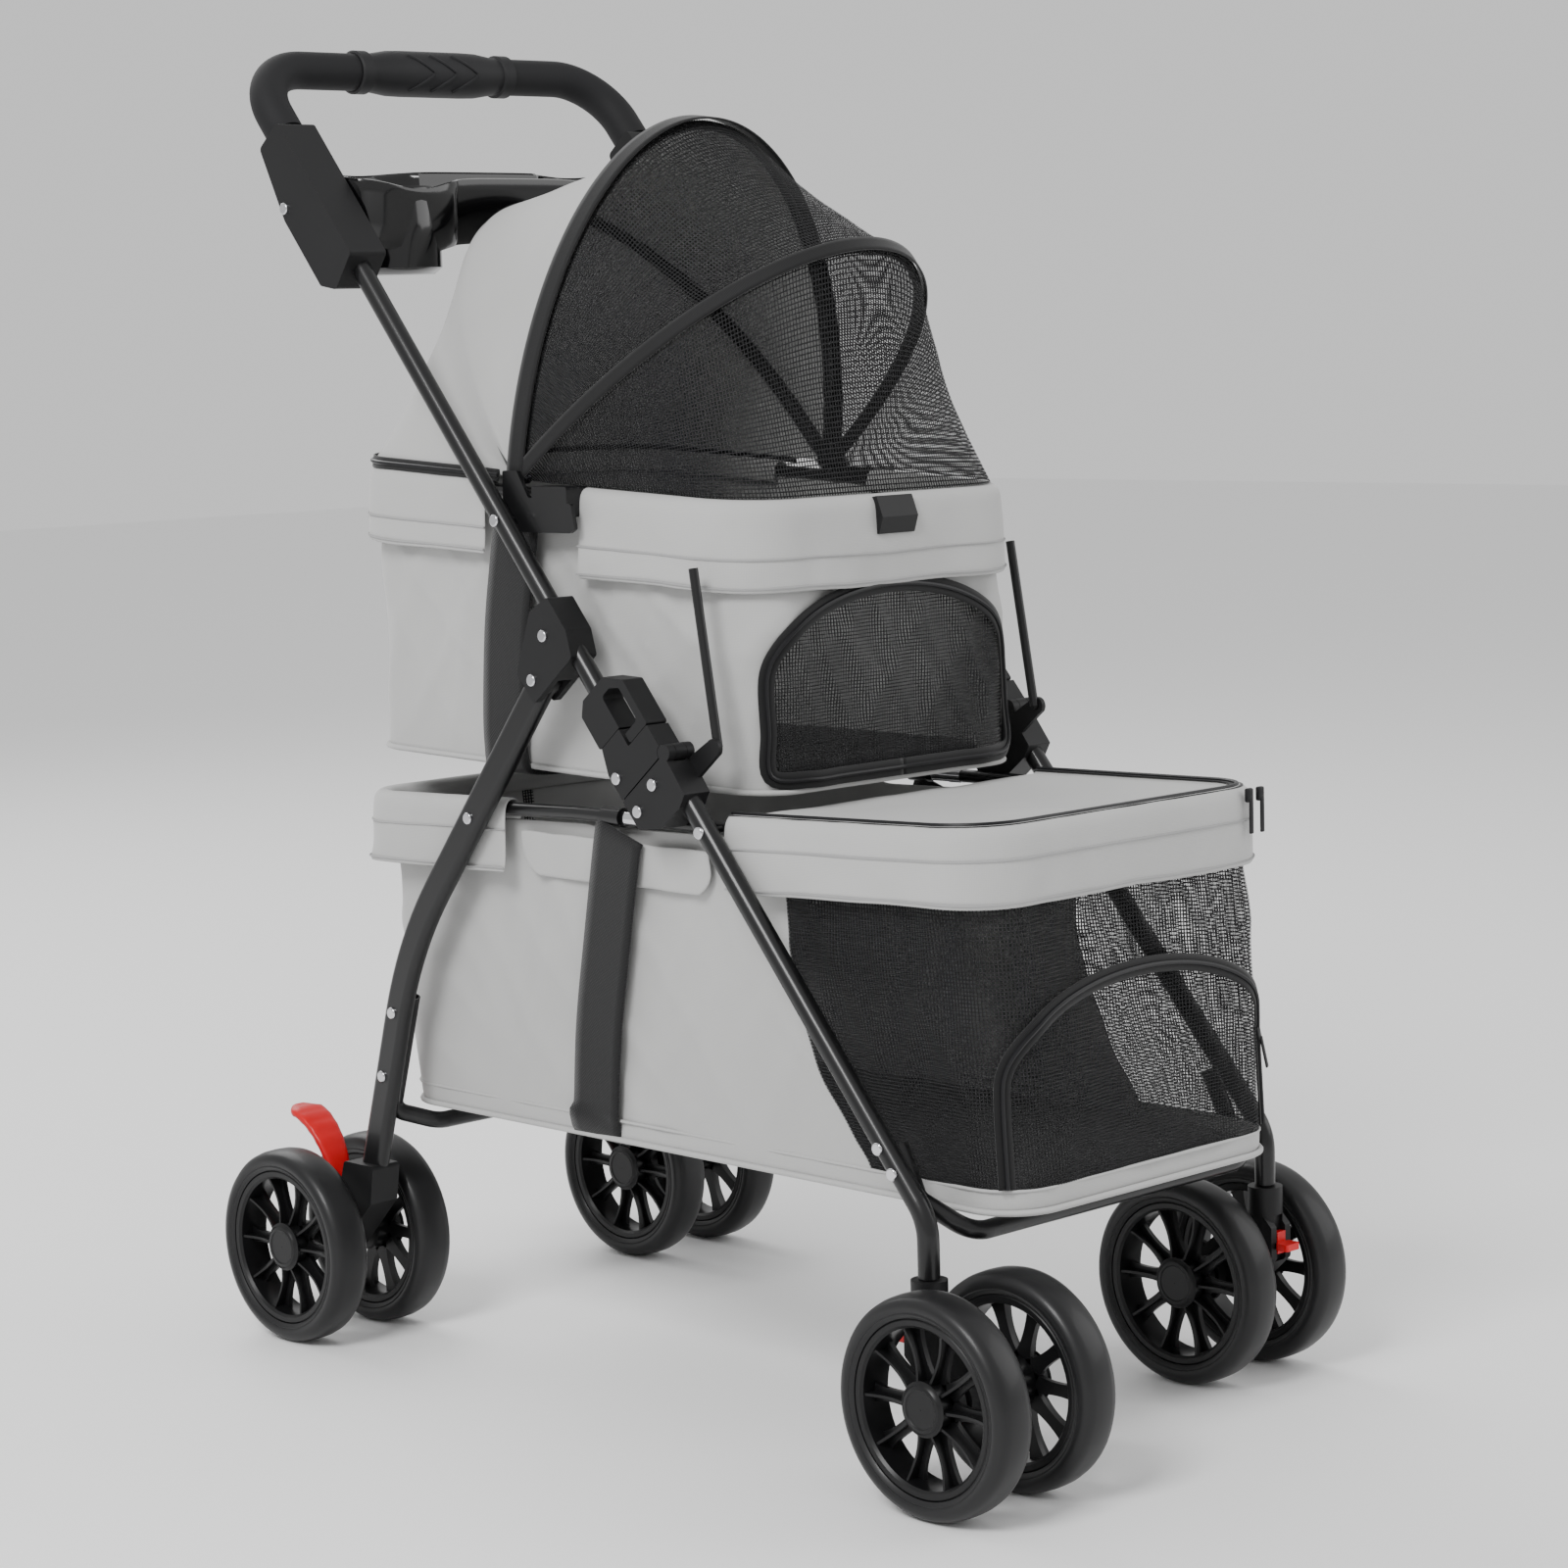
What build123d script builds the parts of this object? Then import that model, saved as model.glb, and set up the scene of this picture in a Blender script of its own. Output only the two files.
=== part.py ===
from build123d import *

import os
from math import asin, atan2, cos, degrees, hypot, radians, sin, sqrt, tan

# Two-deck folding pet stroller.
# Frame: millimetres, +Z up, forward is -Y, origin on the floor under the middle of its footprint.
# "Right" is -X and "left" is +X, as the person pushing it sees them.

# ---- overall driving sizes -------------------------------------------------------------------
LENGTH = 833.0  # front of the front tyres to the back of the rear tyres
HALF_TRACK = 176.0  # side frames and wheel pairs, from the middle plane
WHEEL_R = 75.0
CASTER_TRAIL = 41.3  # swivel axis to front axle
TYRE_WIDTH = 32.0
PAIR_OFFSET = 40.5  # middle of a wheel pair to the middle of one wheel
CLEAR = 0.4  # between parts that pass each other
RUN = 0.05  # radial running clearance of pins and axles

# ---- side frame ------------------------------------------------------------------------------
FOLD_Y = -69.0  # pin of the folding joint
FOLD_Z = 480.0
TUBE_R = 7.5
TUBE_WALL = 1.2
LEG_SETBACK = 12.0  # fold pin to front leg axis
TUBE_STEP = 24.0  # front leg axis to handle tube axis
BEND_Z = 183.0  # where the front leg turns upright
BEND_RADIUS = 38.0
HANDLE_REACH = 674.6  # fold pin to the handle bar, along the tube
BOW_RADIUS = 48.0
RIVET_R = 4.5
RIVET_HEAD = 2.0
PIN_R = 2.5

# ---- casters and wheels ----------------------------------------------------------------------
CASTER_Y = WHEEL_R + CASTER_TRAIL - LENGTH / 2
REAR_AXLE_Y = LENGTH / 2 - WHEEL_R
STEM_R = 5.0
STEM_BOTTOM = 104.0
COLLAR_TOP = 144.0
COLLAR_R = 12.5
AXLE_R = 4.0
RIM_R = 60.0
RIM_WALL = 7.0
RIM_WIDTH = 26.0
HUB_R = 17.0
HUB_WIDTH = 28.0
HUB_FACE = 3.0  # closed outer face of the hub
SPOKES = 10
SPOKE_THICK = 3.6
SPOKE_WIDTH = 18.0
FORK_HALF = 19.0
AXLE_END = PAIR_OFFSET + HUB_WIDTH / 2 - HUB_FACE - 2.0

# ---- lower deck ------------------------------------------------------------------------------
HOOP_R = 5.0
HOOP_WALL = 1.2
HOOP_X = 158.0
HOOP_FRONT_Y = -326.0
HOOP_FRONT_Z = 434.0
HOOP_FRONT_X = 147.0
HOOP_REAR_Y = 311.0
HOOP_REAR_Z = 418.0
HOOP_TAIL = 92.0  # front hoop pivot to the knee behind it
SLEEVE_R = 5.8
SLEEVE_FRONT = 21.0
SLEEVE_BACK = 9.0
TONGUE_THICK = 6.0
FITTING_R = 7.0
BAG_X = 150.0
BAG_WALL = 3.0
LOWER_FLOOR_Z = 185.0
LOWER_FLOOR_FRONT = -345.0
LOWER_FLOOR_REAR = 294.0
LOWER_LID_BACK = -120.0
CROSS_Z = 170.0
CROSS_R = 6.5

# ---- rear legs -------------------------------------------------------------------------------
REAR_PIVOT_S = 121.4  # along the tube from the fold pin
REAR_PIVOT_N = 77.3  # behind the fold pin
REAR_LEG_DEEP = 24.0
REAR_LEG_THICK = 12.0
REAR_BEND = (236.0, 314.0)
REAR_BEND_RADIUS = 300.0
REAR_FOOT_Z = 126.0
REAR_HOOP_PIVOT = 136.2  # down the leg from its top pivot

# ---- upper deck ------------------------------------------------------------------------------
DECK_PIVOT_S = 234.0
RING_R = 4.5
RING_X = 147.0
RING_FRONT_X = 136.0
RING_FRONT_Y = -104.0
RING_REAR_Y = 312.0
RING_MID_Y = 110.0
RING_MID_Z = 655.0
RING_SLOPE = 0.06
UPPER_FLOOR_Z = 447.0
CANOPY_Z = 666.0
CANOPY_HALF_WIDTH = 154.7
CANOPY_HEIGHT = 255.0
BOW_WIRE_R = 1.6
BOW_EYE_R = 4.2
BOW_EYE_THICK = 3.0
BOW_STEP = 3.7
BOW_LEANS = {"front": -52.0, "main": -8.0, "rear": 38.0}
CANOPY_SKIN = 3.0
STRUT_LENGTH = 128.0
STRUT_ANGLE = 80.5
STRUT_PIVOT = (-15.6, -23.5)  # along and across the tube from the fold pin

# ---- handle and tray -------------------------------------------------------------------------
FOAM_R = 14.5
GRIP_R = 18.0
GRIP_HALF = 78.0
CLAMP_START = 468.0
CLAMP_LENGTH = 138.0
CLAMP_HALF = 17.0
CUP_X = 108.0
CUP_Y = 310.0
CUP_TOP = 882.0
CUP_DEPTH = 62.0
CUP_BORE_R = 35.0
CUP_WALL = 3.0
BIN_HALF = 62.0

# ---- derived side geometry -------------------------------------------------------------------
LEG_RUN = hypot(FOLD_Y - CASTER_Y, FOLD_Z - BEND_Z)
TUBE_ANGLE = atan2(FOLD_Z - BEND_Z, FOLD_Y - CASTER_Y) - asin(LEG_SETBACK / LEG_RUN)
HANDLE_N = LEG_SETBACK + TUBE_STEP


def side(s, n):
    """Point (y, z) a distance s up the tubes and n behind the fold pin."""
    y = FOLD_Y + s * cos(TUBE_ANGLE) + n * sin(TUBE_ANGLE)
    z = FOLD_Z + s * sin(TUBE_ANGLE) - n * cos(TUBE_ANGLE)
    return (y, z)


HOOP_PIVOT = side(-60.0, LEG_SETBACK)
KNEE = (HOOP_PIVOT[0] + HOOP_TAIL, HOOP_PIVOT[1])
REAR_PIVOT = side(REAR_PIVOT_S, REAR_PIVOT_N)
DECK_PIVOT = side(DECK_PIVOT_S, HANDLE_N)
STRUT_FOOT = side(*STRUT_PIVOT)
CANOPY_PIVOT = (RING_MID_Y, CANOPY_Z)
LEG_DIR = atan2(REAR_BEND[1] - REAR_PIVOT[1], REAR_BEND[0] - REAR_PIVOT[0])
REAR_FOOT = (REAR_AXLE_Y - 49.0, REAR_FOOT_Z)
BRAKE_PIVOT = (REAR_AXLE_Y - 8.0, WHEEL_R + 44.0)


def down_leg(distance, across=0.0):
    """Point (y, z) on the straight top of the rear leg."""
    y = REAR_PIVOT[0] + distance * cos(LEG_DIR) - across * sin(LEG_DIR)
    z = REAR_PIVOT[1] + distance * sin(LEG_DIR) + across * cos(LEG_DIR)
    return (y, z)


# ---- small tools -----------------------------------------------------------------------------
def slab(points, x0, x1, radius=0.0):
    """Plate with outline points (y, z), from x0 to x1."""
    face = Plane.YZ.offset(x0) * make_face(Polyline(*points, close=True))
    if radius:
        face = fillet(face.vertices(), radius)
    return extrude(face, amount=x1 - x0)


def side_slab(corners, x0, x1, radius=0.0):
    """Plate whose outline is given along and across the tubes."""
    return slab([side(s, n) for s, n in corners], x0, x1, radius)


def pin(point, x0, x1, radius):
    """Round pin along X through point (y, z)."""
    return Pos(min(x0, x1), *point) * (Rot(0, 90, 0) * Cylinder(radius, abs(x1 - x0), align=ON_END))


def rod(start, end, radius):
    """Round bar between two points."""
    along = Vector(*end) - Vector(*start)
    return Plane(origin=start, z_dir=along) * Cylinder(radius, along.length, align=ON_END)


def bent_tube(points, radii, radius, wall=0.0, close=False):
    """Round tube along straight runs joined by arcs."""
    path = FilletPolyline(*points, radius=radii, close=close)
    ring = Circle(radius) - Circle(radius - wall) if wall else Circle(radius)
    return sweep(Plane(origin=path @ 0, z_dir=path % 0) * ring, path=path)


def pair(right):
    """A right-hand shape and its mirror image."""
    return [right, mirror(right, about=Plane.YZ)]


def x_side(sign):
    """X of a side frame."""
    return sign * HALF_TRACK


def group(shapes):
    """Separate solids in one node."""
    solids = []
    for shape in shapes:
        solids += list(shape.solids())
    return Compound(children=solids)


ON_END = (Align.CENTER, Align.CENTER, Align.MIN)
RIGHT = -1
LEFT = 1
SIDES = {"right": RIGHT, "left": LEFT}


# ---- front legs ------------------------------------------------------------------------------
def front_leg():
    """Right front leg: slanted tube, bend, upright foot and the steel swivel stem."""
    top = side(-16.0, LEG_SETBACK)
    points = [(-HALF_TRACK, *top), (-HALF_TRACK, CASTER_Y, BEND_Z), (-HALF_TRACK, CASTER_Y, COLLAR_TOP + 1.0)]
    tube = bent_tube(points, BEND_RADIUS, TUBE_R, TUBE_WALL)
    plug = Pos(-HALF_TRACK, CASTER_Y, COLLAR_TOP + 1.0) * Cylinder(TUBE_R, 4.0, align=ON_END)
    stem_length = COLLAR_TOP + 3.0 - STEM_BOTTOM
    stem = Pos(-HALF_TRACK, CASTER_Y, STEM_BOTTOM) * Cylinder(STEM_R, stem_length, align=ON_END)
    hoop_pin = pin(HOOP_PIVOT, -HALF_TRACK + TUBE_R - 1.0, -HOOP_X + HOOP_R + 2.0, PIN_R)
    return tube + plug + stem + hoop_pin


def front_cross_tube():
    """Steel tube under the front of the lower bag, riveted to both legs."""
    gap = TUBE_R + CROSS_R + CLEAR
    x = HALF_TRACK - gap
    high = side(-318.0, LEG_SETBACK + 2.0)
    points = [(-x, *high), (-x, CASTER_Y + 22.0, CROSS_Z + 22.0), (-x + 20.0, CASTER_Y - 8.0, CROSS_Z)]
    points += [(-px, y, z) for px, y, z in reversed(points)]
    return bent_tube(points, [12.0, 24.0, 24.0, 12.0], CROSS_R, TUBE_WALL)


# ---- folding joints --------------------------------------------------------------------------
LOCK_HALF = 12.0
LOCK_DEPTH = 57.0
KNUCKLE_R = 6.0
KNUCKLE_HALF = 5.0
EAR_THICK = 3.6
LOOP_HALF = 11.0


def lock_base():
    """Right lower half of the folding joint, with the ear that carries the deck strut."""
    x0, x1 = -HALF_TRACK - LOCK_HALF, -HALF_TRACK + LOCK_HALF
    outline = [(-34.0, 2.0), (-0.5, 0.5), (-0.5, LOCK_DEPTH), (-24.0, LOCK_DEPTH), (-38.0, 38.0), (-38.0, 12.0)]
    body = side_slab(outline, x0, x1, 1.2)
    knuckle = pin((FOLD_Y, FOLD_Z), x0, x1, KNUCKLE_R)
    foot = pin(STRUT_FOOT, x1, x1 - EAR_THICK, 6.5)
    arm = [(-22.0, -26.0), (-9.0, -22.0), (-5.0, 8.0), (-22.0, 8.0)]
    ear = side_slab(arm, x1 - EAR_THICK, x1) + foot + pin(STRUT_FOOT, x1 - EAR_THICK, x1 + EAR_THICK, PIN_R)
    slot = pin((FOLD_Y, FOLD_Z), -HALF_TRACK - KNUCKLE_HALF - CLEAR, -HALF_TRACK + KNUCKLE_HALF + CLEAR, 7.0)
    leg = rod((-HALF_TRACK, *side(-60.0, LEG_SETBACK)), (-HALF_TRACK, *side(-16.0, LEG_SETBACK)), TUBE_R)
    hinge_pin = pin((FOLD_Y, FOLD_Z), x0, x1, PIN_R)
    return body + knuckle + ear - slot - leg + hinge_pin


def lock_head():
    """Right upper half of the folding joint, on the end of the handle tube."""
    x0, x1 = -HALF_TRACK - LOCK_HALF, -HALF_TRACK + LOCK_HALF - EAR_THICK - CLEAR
    outline = [(0.5, 0.5), (25.0, 0.5), (25.0, 26.0), (40.0, 26.0), (40.0, 50.0), (22.0, LOCK_DEPTH), (0.5, LOCK_DEPTH)]
    body = side_slab(outline, x0, x1, 1.2)
    relief = pin((FOLD_Y, FOLD_Z), x0 - 1.0, x1 + 1.0, KNUCKLE_R + CLEAR)
    barrel = pin((FOLD_Y, FOLD_Z), -HALF_TRACK - KNUCKLE_HALF, -HALF_TRACK + KNUCKLE_HALF, KNUCKLE_R)
    web = side_slab([(-1.0, 1.0), (12.0, 0.5), (12.0, 14.0), (1.0, 5.0)],
                    -HALF_TRACK - KNUCKLE_HALF, -HALF_TRACK + KNUCKLE_HALF)
    bore = pin((FOLD_Y, FOLD_Z), x0, x1, PIN_R + RUN)
    tube = rod((-HALF_TRACK, *side(8.0, HANDLE_N)), (-HALF_TRACK, *side(90.0, HANDLE_N)), TUBE_R)
    return body - relief + barrel + web - bore - tube


def release_loop():
    """Right finger loop that is pulled up the tube to free the folding joint."""
    x0, x1 = -HALF_TRACK - LOOP_HALF, -HALF_TRACK + LOCK_HALF - EAR_THICK - CLEAR
    outer = side_slab([(26.0, 0.5), (64.0, 0.5), (78.0, 16.0), (78.0, 44.0), (70.0, 53.0), (41.0, 53.0), (41.0, 24.0),
                       (26.0, 24.0)], x0, x1, 2.0)
    window = side_slab([(34.0, 7.5), (62.0, 7.5), (68.0, 16.0), (68.0, 26.0), (34.0, 26.0)], x0 - 1, x1 + 1, 3.0)
    bore = rod((-HALF_TRACK, *side(20.0, HANDLE_N)), (-HALF_TRACK, *side(100.0, HANDLE_N)), TUBE_R + CLEAR)
    return outer - window - bore


# ---- handle ----------------------------------------------------------------------------------
def handle_path(start):
    """Corner points of the handle tube from a distance up the right side to the left side."""
    low = side(start, HANDLE_N)
    high = side(HANDLE_REACH, HANDLE_N)
    return [(-HALF_TRACK, *low), (-HALF_TRACK, *high), (HALF_TRACK, *high), (HALF_TRACK, *low)]


def handle_tube():
    """One bent steel tube from the right folding joint over the handle to the left one."""
    bow = bent_tube(handle_path(8.0), BOW_RADIUS, TUBE_R, TUBE_WALL)
    deck_pins = pair(pin(DECK_PIVOT, -HALF_TRACK + TUBE_R - 1.0, -HALF_TRACK + TUBE_R + 7.0, PIN_R))
    return bow + deck_pins[0] + deck_pins[1]


def handle_foam():
    """Two foam sleeves from the clamps to the rubber grip."""
    start = CLAMP_START + CLAMP_LENGTH + CLEAR
    foam = bent_tube(handle_path(start), BOW_RADIUS, FOAM_R, FOAM_R - TUBE_R)
    grip_zone = Box(2 * GRIP_HALF, 200.0, 200.0)
    return foam - Pos(0, *side(HANDLE_REACH, HANDLE_N)) * grip_zone


def handle_grip():
    """Rubber grip in the middle of the handle, with a collar at each end."""
    y, z = side(HANDLE_REACH, HANDLE_N)
    end, neck, waist = GRIP_HALF - 0.2, GRIP_R - 4.0, GRIP_R - 1.5
    outline = [(-end, 0), (-end, waist), (-end + 12, waist), (-end + 16, neck + 0.5), (-end + 34, GRIP_R)]
    outline += [(-px, r) for px, r in reversed(outline)]
    profile = Plane.XY * make_face(Polyline(*outline, close=True))
    body = revolve(profile, Axis.X)
    return Pos(0, y, z) * body - pin((y, z), -GRIP_HALF - 1, GRIP_HALF + 1, TUBE_R)


def tray_clamp():
    """Right moulded clamp that holds the tray and the end of the foam on the handle tube."""
    start, end = CLAMP_START, CLAMP_START + CLAMP_LENGTH
    front, back = HANDLE_N - 15.0, HANDLE_N + 29.0
    outline = [(start + 8, front), (end, front), (end, HANDLE_N + 15.0), (end - 60, back), (start + 14, back),
               (start, back - 12)]
    body = side_slab(outline, -HALF_TRACK - CLAMP_HALF, -HALF_TRACK + CLAMP_HALF, 4.0)
    tube = rod((-HALF_TRACK, *side(start - 20, HANDLE_N)), (-HALF_TRACK, *side(end + 20, HANDLE_N)), TUBE_R)
    return body - tube


def cup_tray():
    """Moulded tray between the clamps: a cup well at each side and a bin in the middle."""
    wells = [Pos(x, CUP_Y, CUP_TOP - CUP_DEPTH) * Cylinder(CUP_BORE_R + CUP_WALL, CUP_DEPTH, align=ON_END)
             for x in (-CUP_X, CUP_X)]
    bin_outer = Pos(0, CUP_Y + 4.0, CUP_TOP - 16.0) * Box(2 * BIN_HALF + 40.0, 62.0, 50.0)
    bin_outer = fillet(bin_outer.edges().filter_by(Axis.X), 8.0)
    reach = 2 * (HALF_TRACK - CLAMP_HALF - 0.1)
    arm = Pos(0, CUP_Y - 6.0, CUP_TOP - 27.0) * Box(reach, 26.0, 34.0)
    body = wells[0] + wells[1] + bin_outer + arm
    for x in (-CUP_X, CUP_X):
        body -= Pos(x, CUP_Y, CUP_TOP - CUP_DEPTH + CUP_WALL) * Cylinder(CUP_BORE_R, 90.0, align=ON_END)
    return body - Pos(0, CUP_Y + 4.0, CUP_TOP - 4.0) * Box(2 * BIN_HALF, 54.0, 66.0)


def leg_bracket():
    """Right plastic bracket on the handle tube that carries the top of the rear leg."""
    half = 12.0
    x0, x1 = -HALF_TRACK - half, -HALF_TRACK + half
    s, n = REAR_PIVOT_S, REAR_PIVOT_N
    outline = [(s - 14, n + 10), (s - 14, HANDLE_N - 4), (s + 4, HANDLE_N - 12), (s + 34, HANDLE_N - 12),
               (s + 38, HANDLE_N + 10), (s + 14, n + 10)]
    body = side_slab(outline, x0, x1, 3.0)
    tube = rod((-HALF_TRACK, *side(s - 60, HANDLE_N)), (-HALF_TRACK, *side(s + 60, HANDLE_N)), TUBE_R)
    slot_half = REAR_LEG_THICK / 2 + CLEAR
    slot = side_slab([(s - 60, n - 17), (s + 13, n - 17), (s + 17, n), (s + 17, n + 40), (s - 60, n + 40)],
                     -HALF_TRACK - slot_half, -HALF_TRACK + slot_half)
    return body - tube - slot + pin(REAR_PIVOT, x0, x1, PIN_R)


# ---- rear legs -------------------------------------------------------------------------------
def rear_leg():
    """Right rear leg: a flat oval tube, bent once, with the stub of the hoop pivot."""
    points = [(-HALF_TRACK, *REAR_PIVOT), (-HALF_TRACK, *REAR_BEND), (-HALF_TRACK, *REAR_FOOT)]
    path = FilletPolyline(*points, radius=REAR_BEND_RADIUS)
    start = Plane(origin=path @ 0, x_dir=(1, 0, 0), z_dir=path % 0)
    outer = RectangleRounded(REAR_LEG_THICK, REAR_LEG_DEEP, REAR_LEG_THICK / 2 - 0.5)
    hollow = RectangleRounded(REAR_LEG_THICK - 3.0, REAR_LEG_DEEP - 3.0, REAR_LEG_THICK / 2 - 2.0)
    tube = sweep(start * (outer - hollow), path=path)
    x0, x1 = -HALF_TRACK - REAR_LEG_THICK / 2, -HALF_TRACK + REAR_LEG_THICK / 2
    eye = pin(REAR_PIVOT, x0, x1, REAR_LEG_DEEP / 2)
    bore = pin(REAR_PIVOT, x0 - 1, x1 + 1, PIN_R + RUN)
    stub = pin(down_leg(REAR_HOOP_PIVOT), x1 - 1.0, -HOOP_X - HOOP_R - CLEAR, PIN_R + 1.5)
    return tube + eye - bore + stub


def rear_cross_tube():
    """Steel tube under the back of the lower bag, riveted to both rear legs."""
    x = HALF_TRACK - REAR_LEG_THICK / 2 - CROSS_R - CLEAR
    top = (REAR_BEND[0] + 16.0, REAR_BEND[1] - 42.0)
    points = [(-x, *top), (-x, REAR_FOOT[0] - 12.0, CROSS_Z + 10.0), (-x + 26.0, REAR_FOOT[0] - 34.0, CROSS_Z)]
    points += [(-px, y, z) for px, y, z in reversed(points)]
    return bent_tube(points, [10.0, 20.0, 20.0, 10.0], CROSS_R, TUBE_WALL)


def rear_leg_solid():
    """Outer shape of the lower end of the right rear leg."""
    points = [(-HALF_TRACK, *REAR_BEND), (-HALF_TRACK, *REAR_FOOT)]
    path = Line(*points)
    start = Plane(origin=path @ 0, x_dir=(1, 0, 0), z_dir=path % 0)
    return sweep(start * RectangleRounded(REAR_LEG_THICK, REAR_LEG_DEEP, REAR_LEG_THICK / 2 - 0.5), path=path)


def axle_housing():
    """Right moulded housing that joins the rear leg to its pair of wheels."""
    y, z = REAR_AXLE_Y, WHEEL_R
    outline = [(REAR_FOOT[0] - 17, REAR_FOOT[1] + 14), (REAR_FOOT[0] + 19, REAR_FOOT[1] + 14), (y - 20, z + 34),
               (y + 12, z + 26), (y + 16, z - 4), (y + 6, z - 15), (y - 12, z - 15), (REAR_FOOT[0] - 12, REAR_FOOT[1] - 16)]
    body = slab(outline, -HALF_TRACK - 13.0, -HALF_TRACK + 13.0, 3.0)
    boss = pin((y, z), -HALF_TRACK - FORK_HALF, -HALF_TRACK + FORK_HALF, 14.0)
    cheeks = slab([(y - 24, z + 20), (y + 4, z + 20), (y - 2, z + 50), (y - 15, z + 50)],
                  -HALF_TRACK - 13.0, -HALF_TRACK + 13.0)
    pedal_room = slab([(y - 21, z + 28), (y + 40, z + 28), (y + 40, z + 60), (y - 21, z + 60)],
                      -HALF_TRACK - 9.0, -HALF_TRACK + 9.0)
    axle = pin((y, z), -HALF_TRACK - FORK_HALF - 1, -HALF_TRACK + FORK_HALF + 1, AXLE_R)
    brake_pin = pin(BRAKE_PIVOT, -HALF_TRACK - 13.0, -HALF_TRACK + 13.0, 2.0)
    return body + boss + cheeks - pedal_room - axle - rear_leg_solid() + brake_pin


def wheel_axle(x, y):
    """Steel axle of one pair of wheels."""
    return pin((y, WHEEL_R), x - AXLE_END, x + AXLE_END, AXLE_R)


def brake_pedal():
    """Right foot pedal: a shoe on a short arm."""
    y, z = BRAKE_PIVOT
    outline = [(y - 5, z - 4), (y + 5, z - 4), (y + 9, z + 12), (y + 22, z + 36), (y + 30, z + 46), (y + 26, z + 53),
               (y + 10, z + 50), (y - 5, z + 30)]
    body = slab(outline, -HALF_TRACK - 8.5, -HALF_TRACK + 8.5, 2.5)
    toe = slab([(y + 8, z + 30), (y + 22, z + 36), (y + 30, z + 46), (y + 26, z + 53), (y + 10, z + 50), (y - 1, z + 36)],
               -HALF_TRACK - 14.0, -HALF_TRACK + 14.0, 2.5)
    return body + toe - pin(BRAKE_PIVOT, -HALF_TRACK - 20.0, -HALF_TRACK + 20.0, 2.0 + RUN)


# ---- wheels ----------------------------------------------------------------------------------
def wheel_tyre():
    """Tyre round the X axis."""
    half, shoulder = TYRE_WIDTH / 2, 9.0
    outline = [(-half + 3, RIM_R), (-half, RIM_R + 3), (-half, WHEEL_R - shoulder), (-half + 6, WHEEL_R - 1.6),
               (0, WHEEL_R), (half - 6, WHEEL_R - 1.6), (half, WHEEL_R - shoulder), (half, RIM_R + 3), (half - 3, RIM_R)]
    return revolve(make_face(Polyline(*outline, close=True)), Axis.X)


def wheel_rim(outward):
    """Rim with hub and spokes round the X axis, closed on its outward side."""
    rim = Rot(0, 90, 0) * (Cylinder(RIM_R, RIM_WIDTH) - Cylinder(RIM_R - RIM_WALL, RIM_WIDTH))
    hub = Rot(0, 90, 0) * Cylinder(HUB_R, HUB_WIDTH)
    length = RIM_R - RIM_WALL / 2 - HUB_R / 2
    spoke = Pos(0, 0, HUB_R / 2 + length / 2) * Box(SPOKE_WIDTH, SPOKE_THICK, length)
    web = Pos(outward * SPOKE_WIDTH / 2, 0, HUB_R / 2 + length / 2) * Box(2.5, 11.0, length)
    spokes = [Rot(360.0 / SPOKES * index, 0, 0) * (spoke + web) for index in range(SPOKES)]
    body = rim + hub
    for arm in spokes:
        body += arm
    inner, outer = -outward * (HUB_WIDTH / 2 + 1), outward * (HUB_WIDTH / 2 - HUB_FACE)
    return body - pin((0, 0), inner, outer, AXLE_R + RUN)


# ---- casters ---------------------------------------------------------------------------------
def caster_fork():
    """Caster body round the swivel axis, with its axle behind it at +Y."""
    collar = Pos(0, 0, 110.0) * Cylinder(COLLAR_R, COLLAR_TOP - 110.0, align=ON_END)
    outline = [(-14, 116), (-14, 92), (CASTER_TRAIL - 24, 62), (CASTER_TRAIL, 60), (CASTER_TRAIL + 14, 72),
               (CASTER_TRAIL + 10, 92), (14, 124), (-6, 124)]
    arm = slab(outline, -11.0, 11.0, 3.0)
    boss = pin((CASTER_TRAIL, WHEEL_R), -FORK_HALF, FORK_HALF, 13.0)
    stem = Pos(0, 0, STEM_BOTTOM - CLEAR) * Cylinder(STEM_R + RUN, 60.0, align=ON_END)
    tab_slot = Pos(0, -14.0, 107.0) * Box(9.0 + 2 * CLEAR, 10.0, 34.0)
    return collar + arm + boss - stem - tab_slot - pin((CASTER_TRAIL, WHEEL_R), -FORK_HALF - 1, FORK_HALF + 1, AXLE_R)


def swivel_lock():
    """Small red tab in front of the swivel axis that locks the caster straight."""
    tongue = Pos(0, -12.0, 104.0) * Box(9.0, 5.0, 16.0)
    thumb = Pos(0, -20.0, 102.0) * Box(15.0, 11.0, 5.0)
    return tongue + fillet(thumb.edges().filter_by(Axis.Z), 2.0)


def place_caster(shape, sign):
    """The right caster points forward and the left one trails."""
    turn = Rot(0, 0, 180) if sign == RIGHT else Rot(0, 0, 0)
    return Pos(x_side(sign), CASTER_Y, 0) * (turn * shape)


# ---- lower deck ------------------------------------------------------------------------------
def front_rim_hoop():
    """Front half of the lower rim: a tube bent round the front, pivoted on the front legs."""
    back = KNEE[0] - SLEEVE_FRONT + 8.0
    points = [(-HOOP_X, back, KNEE[1]), (-HOOP_X, HOOP_PIVOT[0] - 20.0, HOOP_PIVOT[1]),
              (-HOOP_FRONT_X, HOOP_FRONT_Y, HOOP_FRONT_Z)]
    points += [(-x, y, z) for x, y, z in reversed(points)]
    tube = bent_tube(points, [200.0, 46.0, 46.0, 200.0], HOOP_R, HOOP_WALL)
    hole = pin(HOOP_PIVOT, -HALF_TRACK, HALF_TRACK, PIN_R + RUN)
    return tube - hole


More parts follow.
